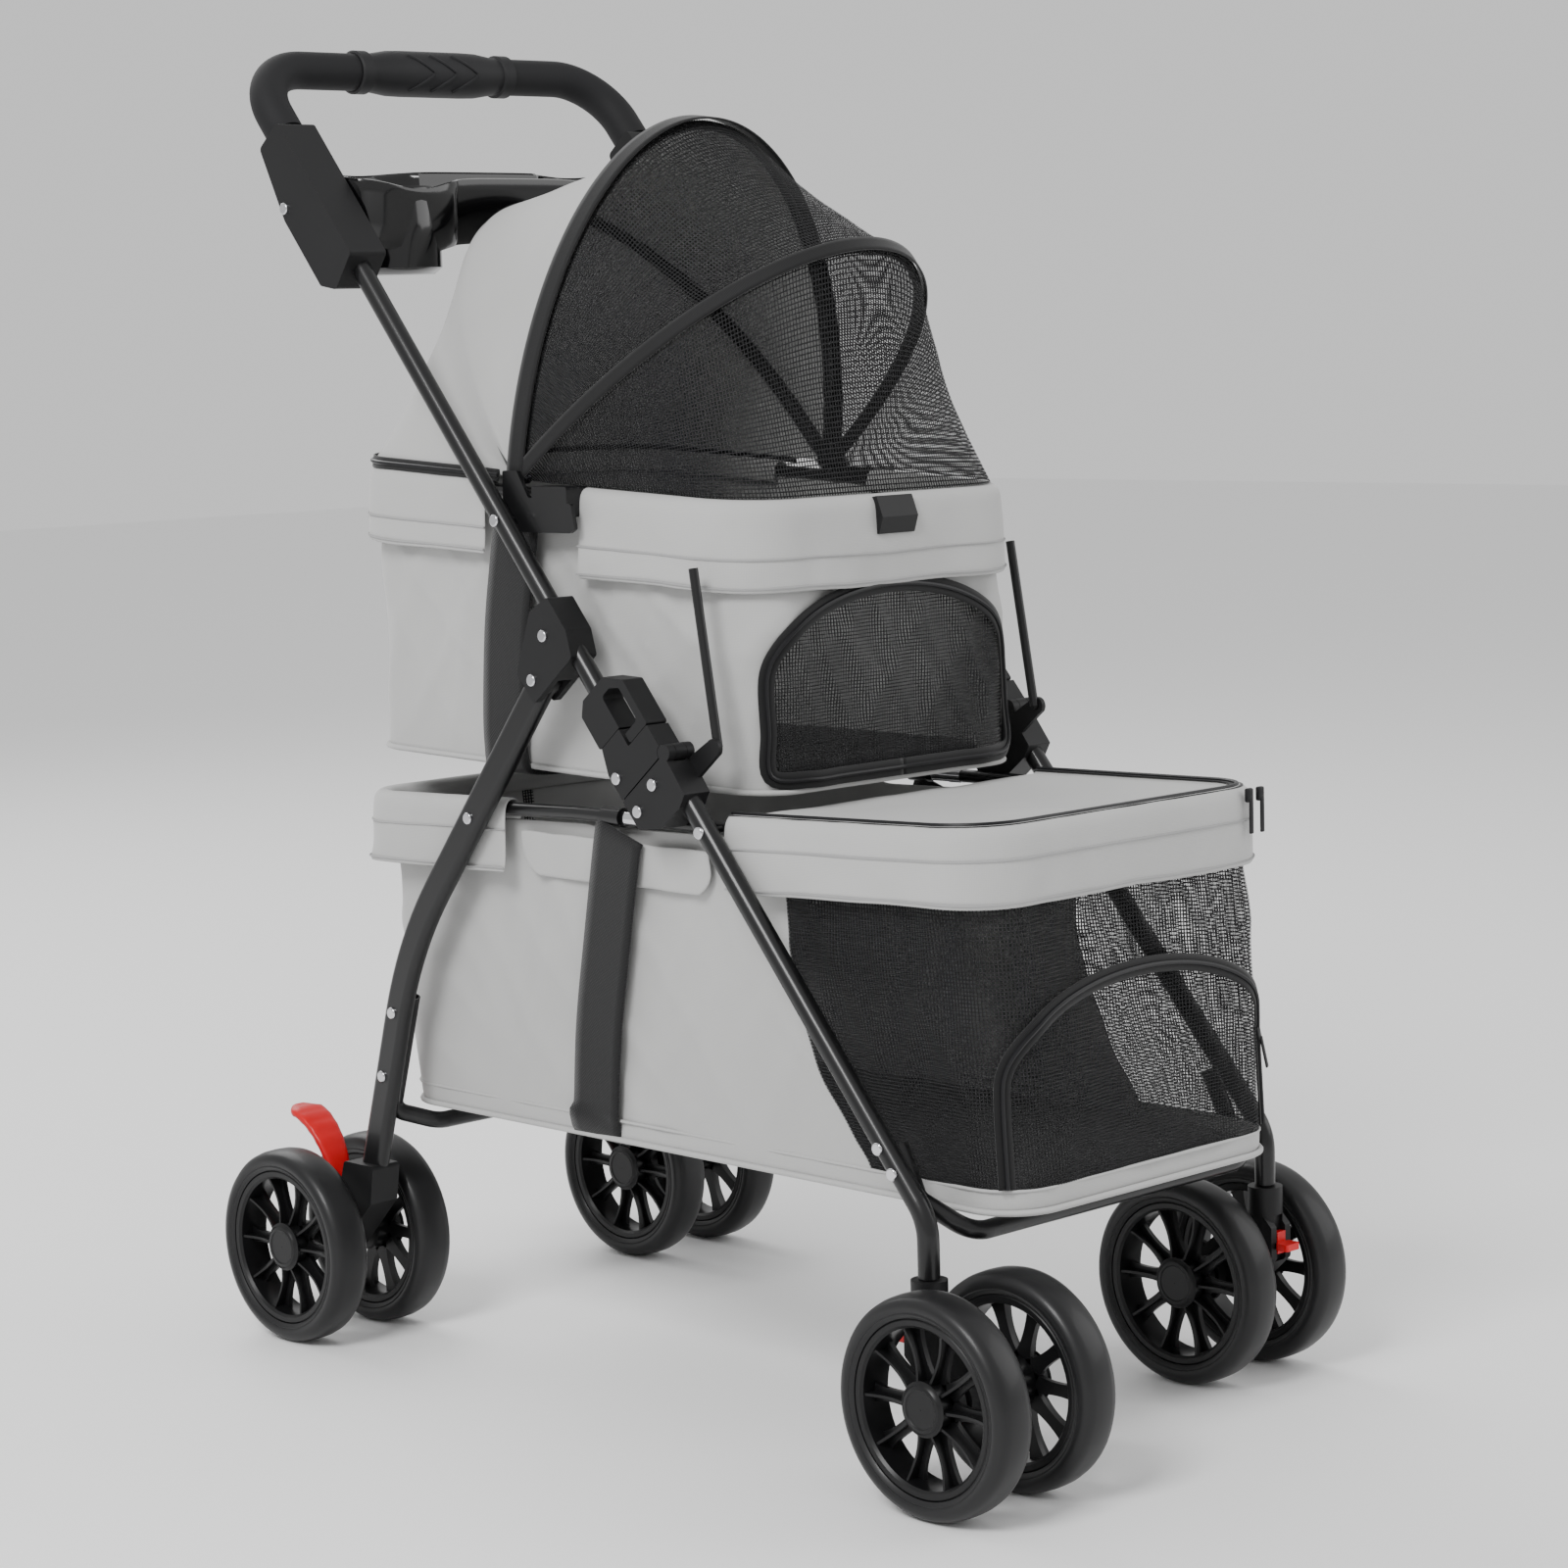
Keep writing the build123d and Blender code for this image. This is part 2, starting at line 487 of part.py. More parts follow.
def knee_sleeve():
    """Right chrome clevis on the back end of the front hoop."""
    y, z = KNEE
    sleeve = rod((-HOOP_X, y - SLEEVE_FRONT, z), (-HOOP_X, y + SLEEVE_BACK, z), SLEEVE_R)
    tube = rod((-HOOP_X, y - SLEEVE_FRONT - 1, z), (-HOOP_X, y - SLEEVE_FRONT + 8.0, z), HOOP_R)
    half = TONGUE_THICK / 2 + 0.2
    slot = slab([(y - 8, z - 20), (y + 20, z - 20), (y + 20, z + 20), (y - 8, z + 20)], -HOOP_X - half, -HOOP_X + half)
    return sleeve - tube - slot + pin(KNEE, -HOOP_X - SLEEVE_R + 0.5, -HOOP_X + SLEEVE_R - 0.5, 2.0)


def rear_rim_hoop():
    """Back half of the lower rim: knee tongues, end fittings and the tube round the back."""
    y, z = KNEE
    points = [(-HOOP_X, y + 24.0, z), (-HOOP_X, y + 60.0, z), (-HOOP_X, HOOP_REAR_Y, HOOP_REAR_Z)]
    points += [(-x, py, pz) for x, py, pz in reversed(points)]
    tube = bent_tube(points, [300.0, 42.0, 42.0, 300.0], HOOP_R, HOOP_WALL)
    half = TONGUE_THICK / 2
    tongue = slab([(y, z - 5), (y + 16, z - 5), (y + 16, z + 5), (y, z + 5)], -HOOP_X - half, -HOOP_X + half)
    eye = pin(KNEE, -HOOP_X - half, -HOOP_X + half, 5.0)
    fitting = rod((-HOOP_X, y + 14.0, z), (-HOOP_X, y + 34.0, z), FITTING_R)
    end = tongue + eye + fitting - pin(KNEE, -HOOP_X - 9, -HOOP_X + 9, 2.0 + RUN)
    ends = pair(end)
    return tube + ends[0] + ends[1]


def bag_section(half_front, half_rear, front, rear, radius):
    """Rounded outline of a bag, narrower in front."""
    outline = [(-half_rear, rear), (-half_front, front), (half_front, front), (half_rear, rear)]
    face = make_face(Polyline(*outline, close=True))
    return fillet(face.vertices(), radius)


def bag_shell(top_plane, bottom_z, top, bottom, wall):
    """Open tub between a tilted rim outline and a flat floor outline."""
    floor = Plane.XY.offset(bottom_z)
    outer = loft([floor * bag_section(*bottom, 36.0), top_plane * bag_section(*top, 36.0)])
    inner_floor = Plane.XY.offset(bottom_z + wall)
    shrink = lambda s: (s[0] - wall, s[1] - wall, s[2] + wall, s[3] - wall)
    above = Plane(origin=top_plane.origin + Vector(0, 0, 0.5), x_dir=top_plane.x_dir, z_dir=top_plane.z_dir)
    inner = loft([inner_floor * bag_section(*shrink(bottom), 34.0), above * bag_section(*shrink(top), 34.0)])
    return outer - inner


def lower_bag():
    """Lower cabin: a fabric tub whose front half is closed by a zipped lid."""
    slope = (HOOP_FRONT_Z - HOOP_REAR_Z) / (HOOP_REAR_Y - HOOP_FRONT_Y)
    top_z = HOOP_REAR_Z + slope * HOOP_REAR_Y - HOOP_R - 1.5
    plane = Plane(origin=(0, 0, top_z), x_dir=(1, 0, 0), z_dir=(0, slope, 1))
    top = (HOOP_FRONT_X - 3.0, BAG_X, HOOP_FRONT_Y, HOOP_REAR_Y)
    bottom = (BAG_X - 12.0, BAG_X - 12.0, LOWER_FLOOR_FRONT, LOWER_FLOOR_REAR)
    tub = bag_shell(plane, LOWER_FLOOR_Z, top, bottom, BAG_WALL)
    lid = extrude(plane * bag_section(HOOP_FRONT_X - 3.2, BAG_X - 0.2, HOOP_FRONT_Y + 0.2, HOOP_REAR_Y, 36.0), amount=-BAG_WALL)
    behind = Pos(0, LOWER_LID_BACK + 500.0, top_z) * Box(600.0, 1000.0, 200.0)
    return tub + (lid - behind)


def upper_bag():
    """Upper cabin: an open fabric tub that hangs from the upper ring."""
    below = RING_MID_Z - RING_R - 0.6
    plane = Plane(origin=(0, RING_MID_Y, below), x_dir=(1, 0, 0), z_dir=(0, -RING_SLOPE, 1))
    front, rear = RING_FRONT_Y - RING_MID_Y, RING_REAR_Y - RING_MID_Y
    top = (RING_FRONT_X, RING_X, front, rear)
    bottom = (RING_FRONT_X - 6.0, RING_X - 8.0, RING_FRONT_Y, RING_REAR_Y + 6.0)
    return bag_shell(plane, UPPER_FLOOR_Z, top, bottom, BAG_WALL)


def floor_board(half, front, rear, bag_floor):
    """Stiff board that lies on the floor of a bag."""
    outline = bag_section(half, half, front + 14.0, rear - 14.0, 30.0)
    return extrude(Plane.XY.offset(bag_floor + BAG_WALL + 0.3) * outline, amount=4.0)


# ---- upper deck ------------------------------------------------------------------------------
def ring_z(y):
    """Height of the upper ring's tube axis at y."""
    return RING_MID_Z + RING_SLOPE * (y - RING_MID_Y)


def upper_ring():
    """Closed rim tube of the upper cabin."""
    half = [(-RING_X, RING_REAR_Y), (-RING_X, 60.0), (-RING_FRONT_X, RING_FRONT_Y)]
    outline = half + [(-x, y) for x, y in reversed(half)]
    points = [(0.0, RING_REAR_Y, ring_z(RING_REAR_Y))] + [(x, y, ring_z(y)) for x, y in outline]
    halves = bent_tube(points[:4] + [(0.0, RING_FRONT_Y, ring_z(RING_FRONT_Y))], [42.0, 200.0, 48.0], RING_R)
    return halves + mirror(halves, about=Plane.YZ)


def ring_bracket():
    """Right steel bracket from the handle tube to the upper ring and the canopy bows."""
    y, z = DECK_PIVOT
    plate_x0, plate_x1 = -HALF_TRACK + TUBE_R + 1.6, -HALF_TRACK + TUBE_R + 4.8
    outline = [(y + 10, z - 9), (y + 10, z + 14), (RING_MID_Y + 8, CANOPY_Z + 6), (RING_MID_Y - 8, CANOPY_Z + 6),
               (y - 18, z + 16), (y - 64, z + 12), (y - 68, z - 6), (y - 62, z - 9)]
    plate = slab(outline, plate_x0, plate_x1, 2.0)
    clip = slab([(y - 60, z + 2), (y - 22, z + 2), (y - 22, z + 24), (y - 60, z + 24)], plate_x0, -RING_X + 1.0, 2.0)
    bow_pin = pin(CANOPY_PIVOT, plate_x0, -CANOPY_HALF_WIDTH + 7.0, 2.0)
    return plate + clip + bow_pin - pin(DECK_PIVOT, plate_x0 - 9, plate_x1 + 2, PIN_R + RUN) - upper_ring()


def front_hook():
    """Plastic hook in the middle of the ring's front."""
    y, z = RING_FRONT_Y, ring_z(RING_FRONT_Y)
    outline = [(y - RING_R - 0.2, z + 6), (y - 10, z + 7), (y - 16, z - 8), (y - 12, z - 20), (y - 8, z - 20), (y - 9, z - 6),
               (y - RING_R - 0.2, z - 4)]
    return slab(outline, -18.0, 18.0, 0.8)


def strut():
    """Right flat bar from the folding joint towards the upper ring."""
    y, z = STRUT_FOOT
    length, angle = STRUT_LENGTH, radians(STRUT_ANGLE)
    x1 = -HALF_TRACK + LOCK_HALF + 3.2
    x0 = x1 - 2.8
    ry, rz = 6.0 * sin(angle), -6.0 * cos(angle)
    ty, tz = y + length * cos(angle), z + length * sin(angle)
    bar = slab([(y + ry, z + rz), (ty + ry, tz + rz), (ty - ry, tz - rz), (y - ry, z - rz)], x0, x1)
    return bar + pin((y, z), x0, x1, 6.0) - pin((y, z), x0 - 1, x1 + 1, PIN_R + RUN)


# ---- canopy ----------------------------------------------------------------------------------
def lean_plane(lean):
    """Plane through the canopy pivots whose Y axis leans by an angle back from upright."""
    up = Vector(0, sin(radians(lean)), cos(radians(lean)))
    return Plane(origin=(0, *CANOPY_PIVOT), x_dir=(1, 0, 0), z_dir=Vector(1, 0, 0).cross(up))


def half_ellipse(half_width, height, low):
    """Outline of an arch: half an ellipse cut off at a low line."""
    arch = Ellipse(half_width, height)
    cut = Pos(0, -height + low) * Rectangle(3 * half_width, 2 * height)
    return arch - cut


def canopy_bow(name):
    """One sprung wire bow with an eye at each end."""
    order = {"rear": -1, "main": 0, "front": 1}[name]
    half = CANOPY_HALF_WIDTH + BOW_STEP * order
    outer = half_ellipse(half + BOW_WIRE_R, CANOPY_HEIGHT + BOW_WIRE_R, 0.0)
    inner = half_ellipse(half - BOW_WIRE_R, CANOPY_HEIGHT - BOW_WIRE_R, 0.0)
    body = extrude(lean_plane(BOW_LEANS[name]) * (outer - inner), amount=BOW_WIRE_R, both=True)
    for sign in (RIGHT, LEFT):
        x = sign * half
        body += pin(CANOPY_PIVOT, x - BOW_EYE_THICK / 2, x + BOW_EYE_THICK / 2, BOW_EYE_R)
    for sign in (RIGHT, LEFT):
        x = sign * half
        body -= pin(CANOPY_PIVOT, x - 4.0, x + 4.0, 2.0 + RUN)
    return body


def canopy_gore(lean_a, height_a, lean_b, height_b):
    """Fabric between two arches."""
    sections = []
    for lean, height in ((lean_a, height_a), (lean_b, height_b)):
        outer = half_ellipse(CANOPY_HALF_WIDTH + 6.0 + CANOPY_SKIN, height + 3.0 + CANOPY_SKIN, 12.0)
        inner = half_ellipse(CANOPY_HALF_WIDTH + 6.0, height + 3.0, 11.0)
        sections.append(lean_plane(lean) * (outer - inner))
    return loft(sections)


FRONT_EDGE = (-93.5, 222.0)
REAR_EDGE = (86.0, 208.0)


def canopy():
    """Sewn canopy: mesh from the front of the ring to the main bow, woven fabric behind it."""
    return group([
        canopy_gore(*FRONT_EDGE, BOW_LEANS["front"], CANOPY_HEIGHT),
        canopy_gore(BOW_LEANS["front"], CANOPY_HEIGHT, BOW_LEANS["main"], CANOPY_HEIGHT),
        canopy_gore(BOW_LEANS["main"], CANOPY_HEIGHT, BOW_LEANS["rear"], CANOPY_HEIGHT),
        canopy_gore(BOW_LEANS["rear"], CANOPY_HEIGHT, *REAR_EDGE),
    ])


# ---- rivets ----------------------------------------------------------------------------------
def rivets(places):
    """Domed rivet heads on the outer faces, at (y, z, distance from the middle plane)."""
    heads = []
    for y, z, x in places:
        head = pin((y, z), -x - RIVET_HEAD, -x, RIVET_R)
        face = head.faces().sort_by(Axis.X)[0]
        heads += pair(fillet(face.edges(), RIVET_HEAD * 0.6))
    return group(heads)


TUBE_SKIN = HALF_TRACK + TUBE_R + 0.05
LOCK_SKIN = HALF_TRACK + LOCK_HALF + 0.05
LEG_SKIN = HALF_TRACK + REAR_LEG_THICK / 2 + 0.05


def front_rivets():
    """Rivets of the lower joint half, the hoop pivot and the front cross tube."""
    on_lock = [(*side(-9.9, 24.0), LOCK_SKIN), (*side(-15.0, 49.0), LOCK_SKIN)]
    on_leg = [(*side(s, LEG_SETBACK), TUBE_SKIN) for s in (-60.0, -318.0, -338.0)]
    return rivets(on_lock + on_leg)


def handle_rivets():
    """Rivets of the upper joint half, the leg bracket, the deck pivot and the clamp screws."""
    on_head = [(*side(15.3, 51.3), LOCK_SKIN)]
    s, n = REAR_PIVOT_S, REAR_PIVOT_N
    on_bracket = [(*side(s + 16.0, HANDLE_N + 10.0), LOCK_SKIN), (*side(s, n), LOCK_SKIN)]
    on_tube = [(*DECK_PIVOT, TUBE_SKIN)]
    on_clamp = [(*side(552.8, 58.4), HALF_TRACK + CLAMP_HALF + 0.05)]
    return rivets(on_head + on_bracket + on_tube + on_clamp)


def rear_rivets():
    """Rivets of the rear hoop pivot and the rear cross tube."""
    y, z = REAR_BEND
    foot_y, foot_z = REAR_FOOT
    low = [(y + 0.28 * (foot_y - y) + 1.0, z - 0.28 * (z - foot_z)), (y + 0.55 * (foot_y - y) + 1.0, z - 0.55 * (z - foot_z))]
    return rivets([(*down_leg(REAR_HOOP_PIVOT), LEG_SKIN)] + [(*point, LEG_SKIN) for point in low])


# ---- build -----------------------------------------------------------------------------------
def wheel_nodes():
    """Tyres and rims of the eight wheels."""
    nodes = {}
    axle_y = {
        ("front", "right"): CASTER_Y - CASTER_TRAIL,
        ("front", "left"): CASTER_Y + CASTER_TRAIL,
        ("rear", "right"): REAR_AXLE_Y,
        ("rear", "left"): REAR_AXLE_Y,
    }
    for (end, name), y in axle_y.items():
        for place, outward in (("outer", SIDES[name]), ("inner", -SIDES[name])):
            spot = Pos(x_side(SIDES[name]) + outward * PAIR_OFFSET, y, WHEEL_R)
            nodes[f"tyre_{end}_{name}_{place}"] = spot * wheel_tyre()
            nodes[f"rim_{end}_{name}_{place}"] = spot * wheel_rim(outward)
    return nodes


def caster_nodes():
    """Forks, axles and swivel locks of the two front casters."""
    nodes = {}
    for name, sign in SIDES.items():
        nodes[f"caster_fork_{name}"] = place_caster(caster_fork(), sign)
        nodes[f"caster_axle_{name}"] = place_caster(wheel_axle(0, CASTER_TRAIL), sign)
        nodes[f"swivel_lock_{name}"] = place_caster(swivel_lock(), sign)
    return nodes


def handed_nodes():
    """Pieces with a right and a left hand, each in its own node."""
    nodes = {}
    makers = {
        "front_leg": front_leg,
        "rear_leg": rear_leg,
        "release_loop": release_loop,
        "brake_pedal": brake_pedal,
    }
    for name, maker in makers.items():
        right, left = pair(maker())
        nodes[f"{name}_right"] = right
        nodes[f"{name}_left"] = left
    return nodes


def paired_nodes():
    """Pieces of which both hands share a node."""
    return {
        "lock_bases": group(pair(lock_base())),
        "lock_heads": group(pair(lock_head())),
        "leg_brackets": group(pair(leg_bracket())),
        "tray_clamps": group(pair(tray_clamp())),
        "axle_housings": group(pair(axle_housing())),
        "rear_axles": group(pair(wheel_axle(-HALF_TRACK, REAR_AXLE_Y))),
        "knee_sleeves": group(pair(knee_sleeve())),
        "ring_brackets": group(pair(ring_bracket())),
        "struts": group(pair(strut())),
    }


def single_nodes():
    """Pieces that span the stroller."""
    return {
        "front_cross_tube": front_cross_tube(),
        "rear_cross_tube": rear_cross_tube(),
        "front_rivets": front_rivets(),
        "handle_rivets": handle_rivets(),
        "rear_rivets": rear_rivets(),
        "handle_tube": handle_tube(),
        "handle_foam": handle_foam(),
        "handle_grip": handle_grip(),
        "cup_tray": cup_tray(),
        "front_rim_hoop": front_rim_hoop(),
        "rear_rim_hoop": rear_rim_hoop(),
        "lower_bag": lower_bag(),
        "lower_floor": floor_board(BAG_X - 26.0, LOWER_FLOOR_FRONT, LOWER_FLOOR_REAR, LOWER_FLOOR_Z),
        "upper_ring": upper_ring(),
        "upper_bag": upper_bag(),
        "upper_floor": floor_board(RING_FRONT_X - 18.0, RING_FRONT_Y, RING_REAR_Y, UPPER_FLOOR_Z),
        "front_hook": front_hook(),
        "canopy_bow_front": canopy_bow("front"),
        "canopy_bow_main": canopy_bow("main"),
        "canopy_bow_rear": canopy_bow("rear"),
        "canopy": canopy(),
    }


os.makedirs("parts", exist_ok=True)
all_nodes = {**wheel_nodes(), **caster_nodes(), **handed_nodes(), **paired_nodes(), **single_nodes()}
for node_name, shape in all_nodes.items():
    export_step(shape, f"parts/{node_name}.step")
print(len(all_nodes), "nodes, tube angle", round(degrees(TUBE_ANGLE), 2))
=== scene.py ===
"""Looks of the two-deck pet stroller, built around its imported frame."""

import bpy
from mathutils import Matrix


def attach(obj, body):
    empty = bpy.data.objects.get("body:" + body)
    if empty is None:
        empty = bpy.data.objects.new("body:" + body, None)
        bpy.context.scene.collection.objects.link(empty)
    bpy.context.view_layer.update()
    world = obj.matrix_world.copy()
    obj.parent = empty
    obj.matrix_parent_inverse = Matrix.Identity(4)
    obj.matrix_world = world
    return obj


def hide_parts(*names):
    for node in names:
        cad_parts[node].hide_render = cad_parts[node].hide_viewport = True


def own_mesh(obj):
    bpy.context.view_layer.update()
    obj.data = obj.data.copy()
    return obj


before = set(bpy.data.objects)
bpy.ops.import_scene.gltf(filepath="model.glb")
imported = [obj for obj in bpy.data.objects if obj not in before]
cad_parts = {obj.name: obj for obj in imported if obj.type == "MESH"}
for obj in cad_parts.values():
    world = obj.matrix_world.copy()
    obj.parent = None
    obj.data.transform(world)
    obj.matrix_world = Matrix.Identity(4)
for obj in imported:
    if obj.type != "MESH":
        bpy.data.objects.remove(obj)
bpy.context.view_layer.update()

import logging
import math
from dataclasses import dataclass
from enum import Enum
from typing import Callable, Sequence

import bmesh
import bpy
from mathutils import Matrix, Vector, noise

LOG = logging.getLogger("stroller")
MM = 0.001
RIGHT, LEFT = -1, 1
SIDES = {"right": RIGHT, "left": LEFT}
Row = list[Vector]

# Places of the frame's joints, mm in the row frame
TRACK = 176.0
CASTER_Y = -300.2
REAR_AXLE_Y = 341.5
WHEEL_Z = 75.0
CANOPY_PIVOT = Vector((0.0, 110.0, 666.0))


# ------------------------------------------------------------------------------------ materials
def linear(hex_colour: str) -> tuple[float, float, float, float]:
    """Turns an sRGB hex colour to linear.

    Args:
        hex_colour: six hex digits.
    Returns:
        Red, green, blue and alpha.
    """
    parts = [int(hex_colour[i:i + 2], 16) / 255 for i in (0, 2, 4)]
    return (*[c / 12.92 if c <= 0.04045 else ((c + 0.055) / 1.055) ** 2.4 for c in parts], 1.0)


def add_node(tree: bpy.types.NodeTree, kind: str, settings: dict | None = None,
             **links: object) -> bpy.types.Node:
    """Adds a node with its settings and inputs.

    Args:
        tree: the node tree.
        kind: the node's type.
        settings: attributes to set on the node.
        links: input name, with _ for a space and a trailing number for an index, to a socket or a value.
    Returns:
        The node.
    """
    made = tree.nodes.new(kind)
    for key, value in (settings or {}).items():
        setattr(made, key, value)
    for key, value in links.items():
        numbered = key[0] == "i" and key[1:].isdigit()
        socket = made.inputs[int(key[1:]) if numbered else key.replace("_", " ")]
        if isinstance(value, bpy.types.NodeSocket):
            tree.links.new(value, socket)
        else:
            socket.default_value = value
    return made


def start_material(name: str) -> tuple[bpy.types.Material, bpy.types.NodeTree, bpy.types.Node,
                                       bpy.types.Node]:
    """Makes a material with a shader and a coordinate node.

    Args:
        name: the material's name.
    Returns:
        The material, its tree, its principled shader and its coordinates.
    """
    made = bpy.data.materials.new(name)
    made.use_nodes = True
    tree = made.node_tree
    shader = tree.nodes["Principled BSDF"]
    return made, tree, shader, add_node(tree, "ShaderNodeTexCoord")


def bump_from(tree: bpy.types.NodeTree, height: bpy.types.NodeSocket, distance_mm: float,
              strength: float) -> bpy.types.NodeSocket:
    """Turns a height into a normal.

    Args:
        tree: the node tree.
        height: the height's socket.
        distance_mm: what a height of 1 stands for.
        strength: share of the bump that shows.
    Returns:
        The normal's socket.
    """
    return add_node(tree, "ShaderNodeBump", None, Height=height, Distance=distance_mm * MM,
                    Strength=strength).outputs[0]


@dataclass(frozen=True)
class GrainedFinish:
    """Plastic, rubber or paint: one colour with a fine grain and a little unevenness."""

    name: str
    colour: str
    worn: str
    roughness: float
    spread: float
    grain_mm: float
    bump_mm: float
    coat: float = 0.0
    metallic: float = 0.0
    gloss: float = 0.28

    def build(self) -> bpy.types.Material:
        """Makes the material."""
        made, tree, shader, where = start_material(self.name)
        point = where.outputs["Object"]
        grain = add_node(tree, "ShaderNodeTexNoise", None, Vector=point, Scale=1 / (self.grain_mm * MM),
                         Detail=3.0)
        cloud = add_node(tree, "ShaderNodeTexNoise", None, Vector=point, Scale=14.0, Detail=2.0)
        tint = add_node(tree, "ShaderNodeMix", {"data_type": "RGBA"}, i0=cloud.outputs["Fac"],
                        i6=linear(self.colour), i7=linear(self.worn))
        rough = add_node(tree, "ShaderNodeMapRange", None, Value=cloud.outputs["Fac"],
                         To_Min=self.roughness - self.spread,
                         To_Max=self.roughness + self.spread)
        tree.links.new(tint.outputs[2], shader.inputs["Base Color"])
        tree.links.new(rough.outputs[0], shader.inputs["Roughness"])
        tree.links.new(bump_from(tree, grain.outputs["Fac"], self.bump_mm, 0.6), shader.inputs["Normal"])
        shader.inputs["Metallic"].default_value = self.metallic
        shader.inputs["Specular IOR Level"].default_value = self.gloss
        shader.inputs["Coat Weight"].default_value = self.coat
        shader.inputs["Coat Roughness"].default_value = 0.12
        return made


@dataclass(frozen=True)
class WovenFinish:
    """Woven cloth or webbing: crossing threads on the piece's own UV map, in metres, with painted shade in
    the gaps between the threads.
    """

    name: str
    colour: str
    gap_shade_and_mottle: str
    thread_mm: float
    bump_mm: float
    roughness: float
    sheen: float
    diagonal: bool = False

    def build(self) -> bpy.types.Material:
        """Makes the material."""
        made, tree, shader, where = start_material(self.name)
        turn = math.radians(45.0 if self.diagonal else 0.0)
        flat = add_node(tree, "ShaderNodeMapping", None, Vector=where.outputs["UV"],
                        Rotation=(0.0, 0.0, turn))
        bands = 1 / (self.thread_mm * MM) / math.pi
        warp = add_node(tree, "ShaderNodeTexWave", {"bands_direction": "X"}, Vector=flat.outputs[0],
                        Scale=bands, Distortion=0.4,
                        Detail=1.0)
        weft = add_node(tree, "ShaderNodeTexWave", {"bands_direction": "Y"}, Vector=flat.outputs[0],
                        Scale=bands, Distortion=0.4,
                        Detail=1.0)
        cross = add_node(tree, "ShaderNodeMath", {"operation": "MULTIPLY"}, i0=warp.outputs["Fac"],
                         i1=weft.outputs["Fac"])
        cloud = add_node(tree, "ShaderNodeTexNoise", None, Vector=where.outputs["Object"], Scale=9.0,
                         Detail=4.0)
        # Painted shade: the gaps between the threads are mixed towards the darker colour, together with
        # random cloudy mottle.
        depth = add_node(tree, "ShaderNodeMath", {"operation": "MULTIPLY_ADD"}, i0=cross.outputs[0], i1=0.35)
        tree.links.new(add_node(tree, "ShaderNodeMath", {"operation": "MULTIPLY"}, i0=cloud.outputs["Fac"],
                                i1=0.65).outputs[0],
                       depth.inputs[2])
        tint = add_node(tree, "ShaderNodeMix", {"data_type": "RGBA"}, i0=depth.outputs[0],
                        i6=linear(self.gap_shade_and_mottle),
                        i7=linear(self.colour))
        tree.links.new(tint.outputs[2], shader.inputs["Base Color"])
        tree.links.new(bump_from(tree, cross.outputs[0], self.bump_mm, 0.5), shader.inputs["Normal"])
        shader.inputs["Roughness"].default_value = self.roughness
        shader.inputs["Sheen Weight"].default_value = self.sheen
        shader.inputs["Sheen Roughness"].default_value = 0.5
        shader.inputs["Specular IOR Level"].default_value = 0.25
        return made


@dataclass(frozen=True)
class NetFinish:
    """Open polyester net: round threads on a square grid with holes between them."""

    name: str
    colour: str
    cell_mm: float
    thread_share: float

    def build(self) -> bpy.types.Material:
        """Makes the material."""
        made, tree, shader, where = start_material(self.name)
        split = add_node(tree, "ShaderNodeSeparateXYZ", None, Vector=where.outputs["UV"])
        ridges = []
        for axis in (0, 1):
            cell = add_node(tree, "ShaderNodeMath", {"operation": "DIVIDE"}, i0=split.outputs[axis],
                            i1=self.cell_mm * MM)
            along = add_node(tree, "ShaderNodeMath", {"operation": "PINGPONG"}, i0=cell.outputs[0], i1=0.5)
            ridges.append(add_node(tree, "ShaderNodeMath", {"operation": "MULTIPLY"}, i0=along.outputs[0],
                                   i1=2.0).outputs[0])
        ridge = add_node(tree, "ShaderNodeMath", {"operation": "MAXIMUM"}, i0=ridges[0], i1=ridges[1])
        solid = add_node(tree, "ShaderNodeMapRange", {"interpolation_type": "SMOOTHSTEP"},
                         Value=ridge.outputs[0],
                         From_Min=1 - self.thread_share - 0.08, From_Max=1 - self.thread_share + 0.08)
        tree.links.new(solid.outputs[0], shader.inputs["Alpha"])
        tree.links.new(bump_from(tree, ridge.outputs[0], 0.3, 0.5), shader.inputs["Normal"])
        shader.inputs["Base Color"].default_value = linear(self.colour)
        shader.inputs["Roughness"].default_value = 0.75
        shader.inputs["Specular IOR Level"].default_value = 0.2
        return made


@dataclass(frozen=True)
class Finishes:
    """Every finish the stroller has."""

    powder_coat: bpy.types.Material
    chrome: bpy.types.Material
    moulded: bpy.types.Material
    tray: bpy.types.Material
    red: bpy.types.Material
    tyre: bpy.types.Material
    rim: bpy.types.Material
    foam: bpy.types.Material
    grip: bpy.types.Material
    wire: bpy.types.Material
    cloth: bpy.types.Material
    webbing: bpy.types.Material
    binding: bpy.types.Material
    zip_teeth: bpy.types.Material
    net: bpy.types.Material
    pad: bpy.types.Material
    thread: bpy.types.Material


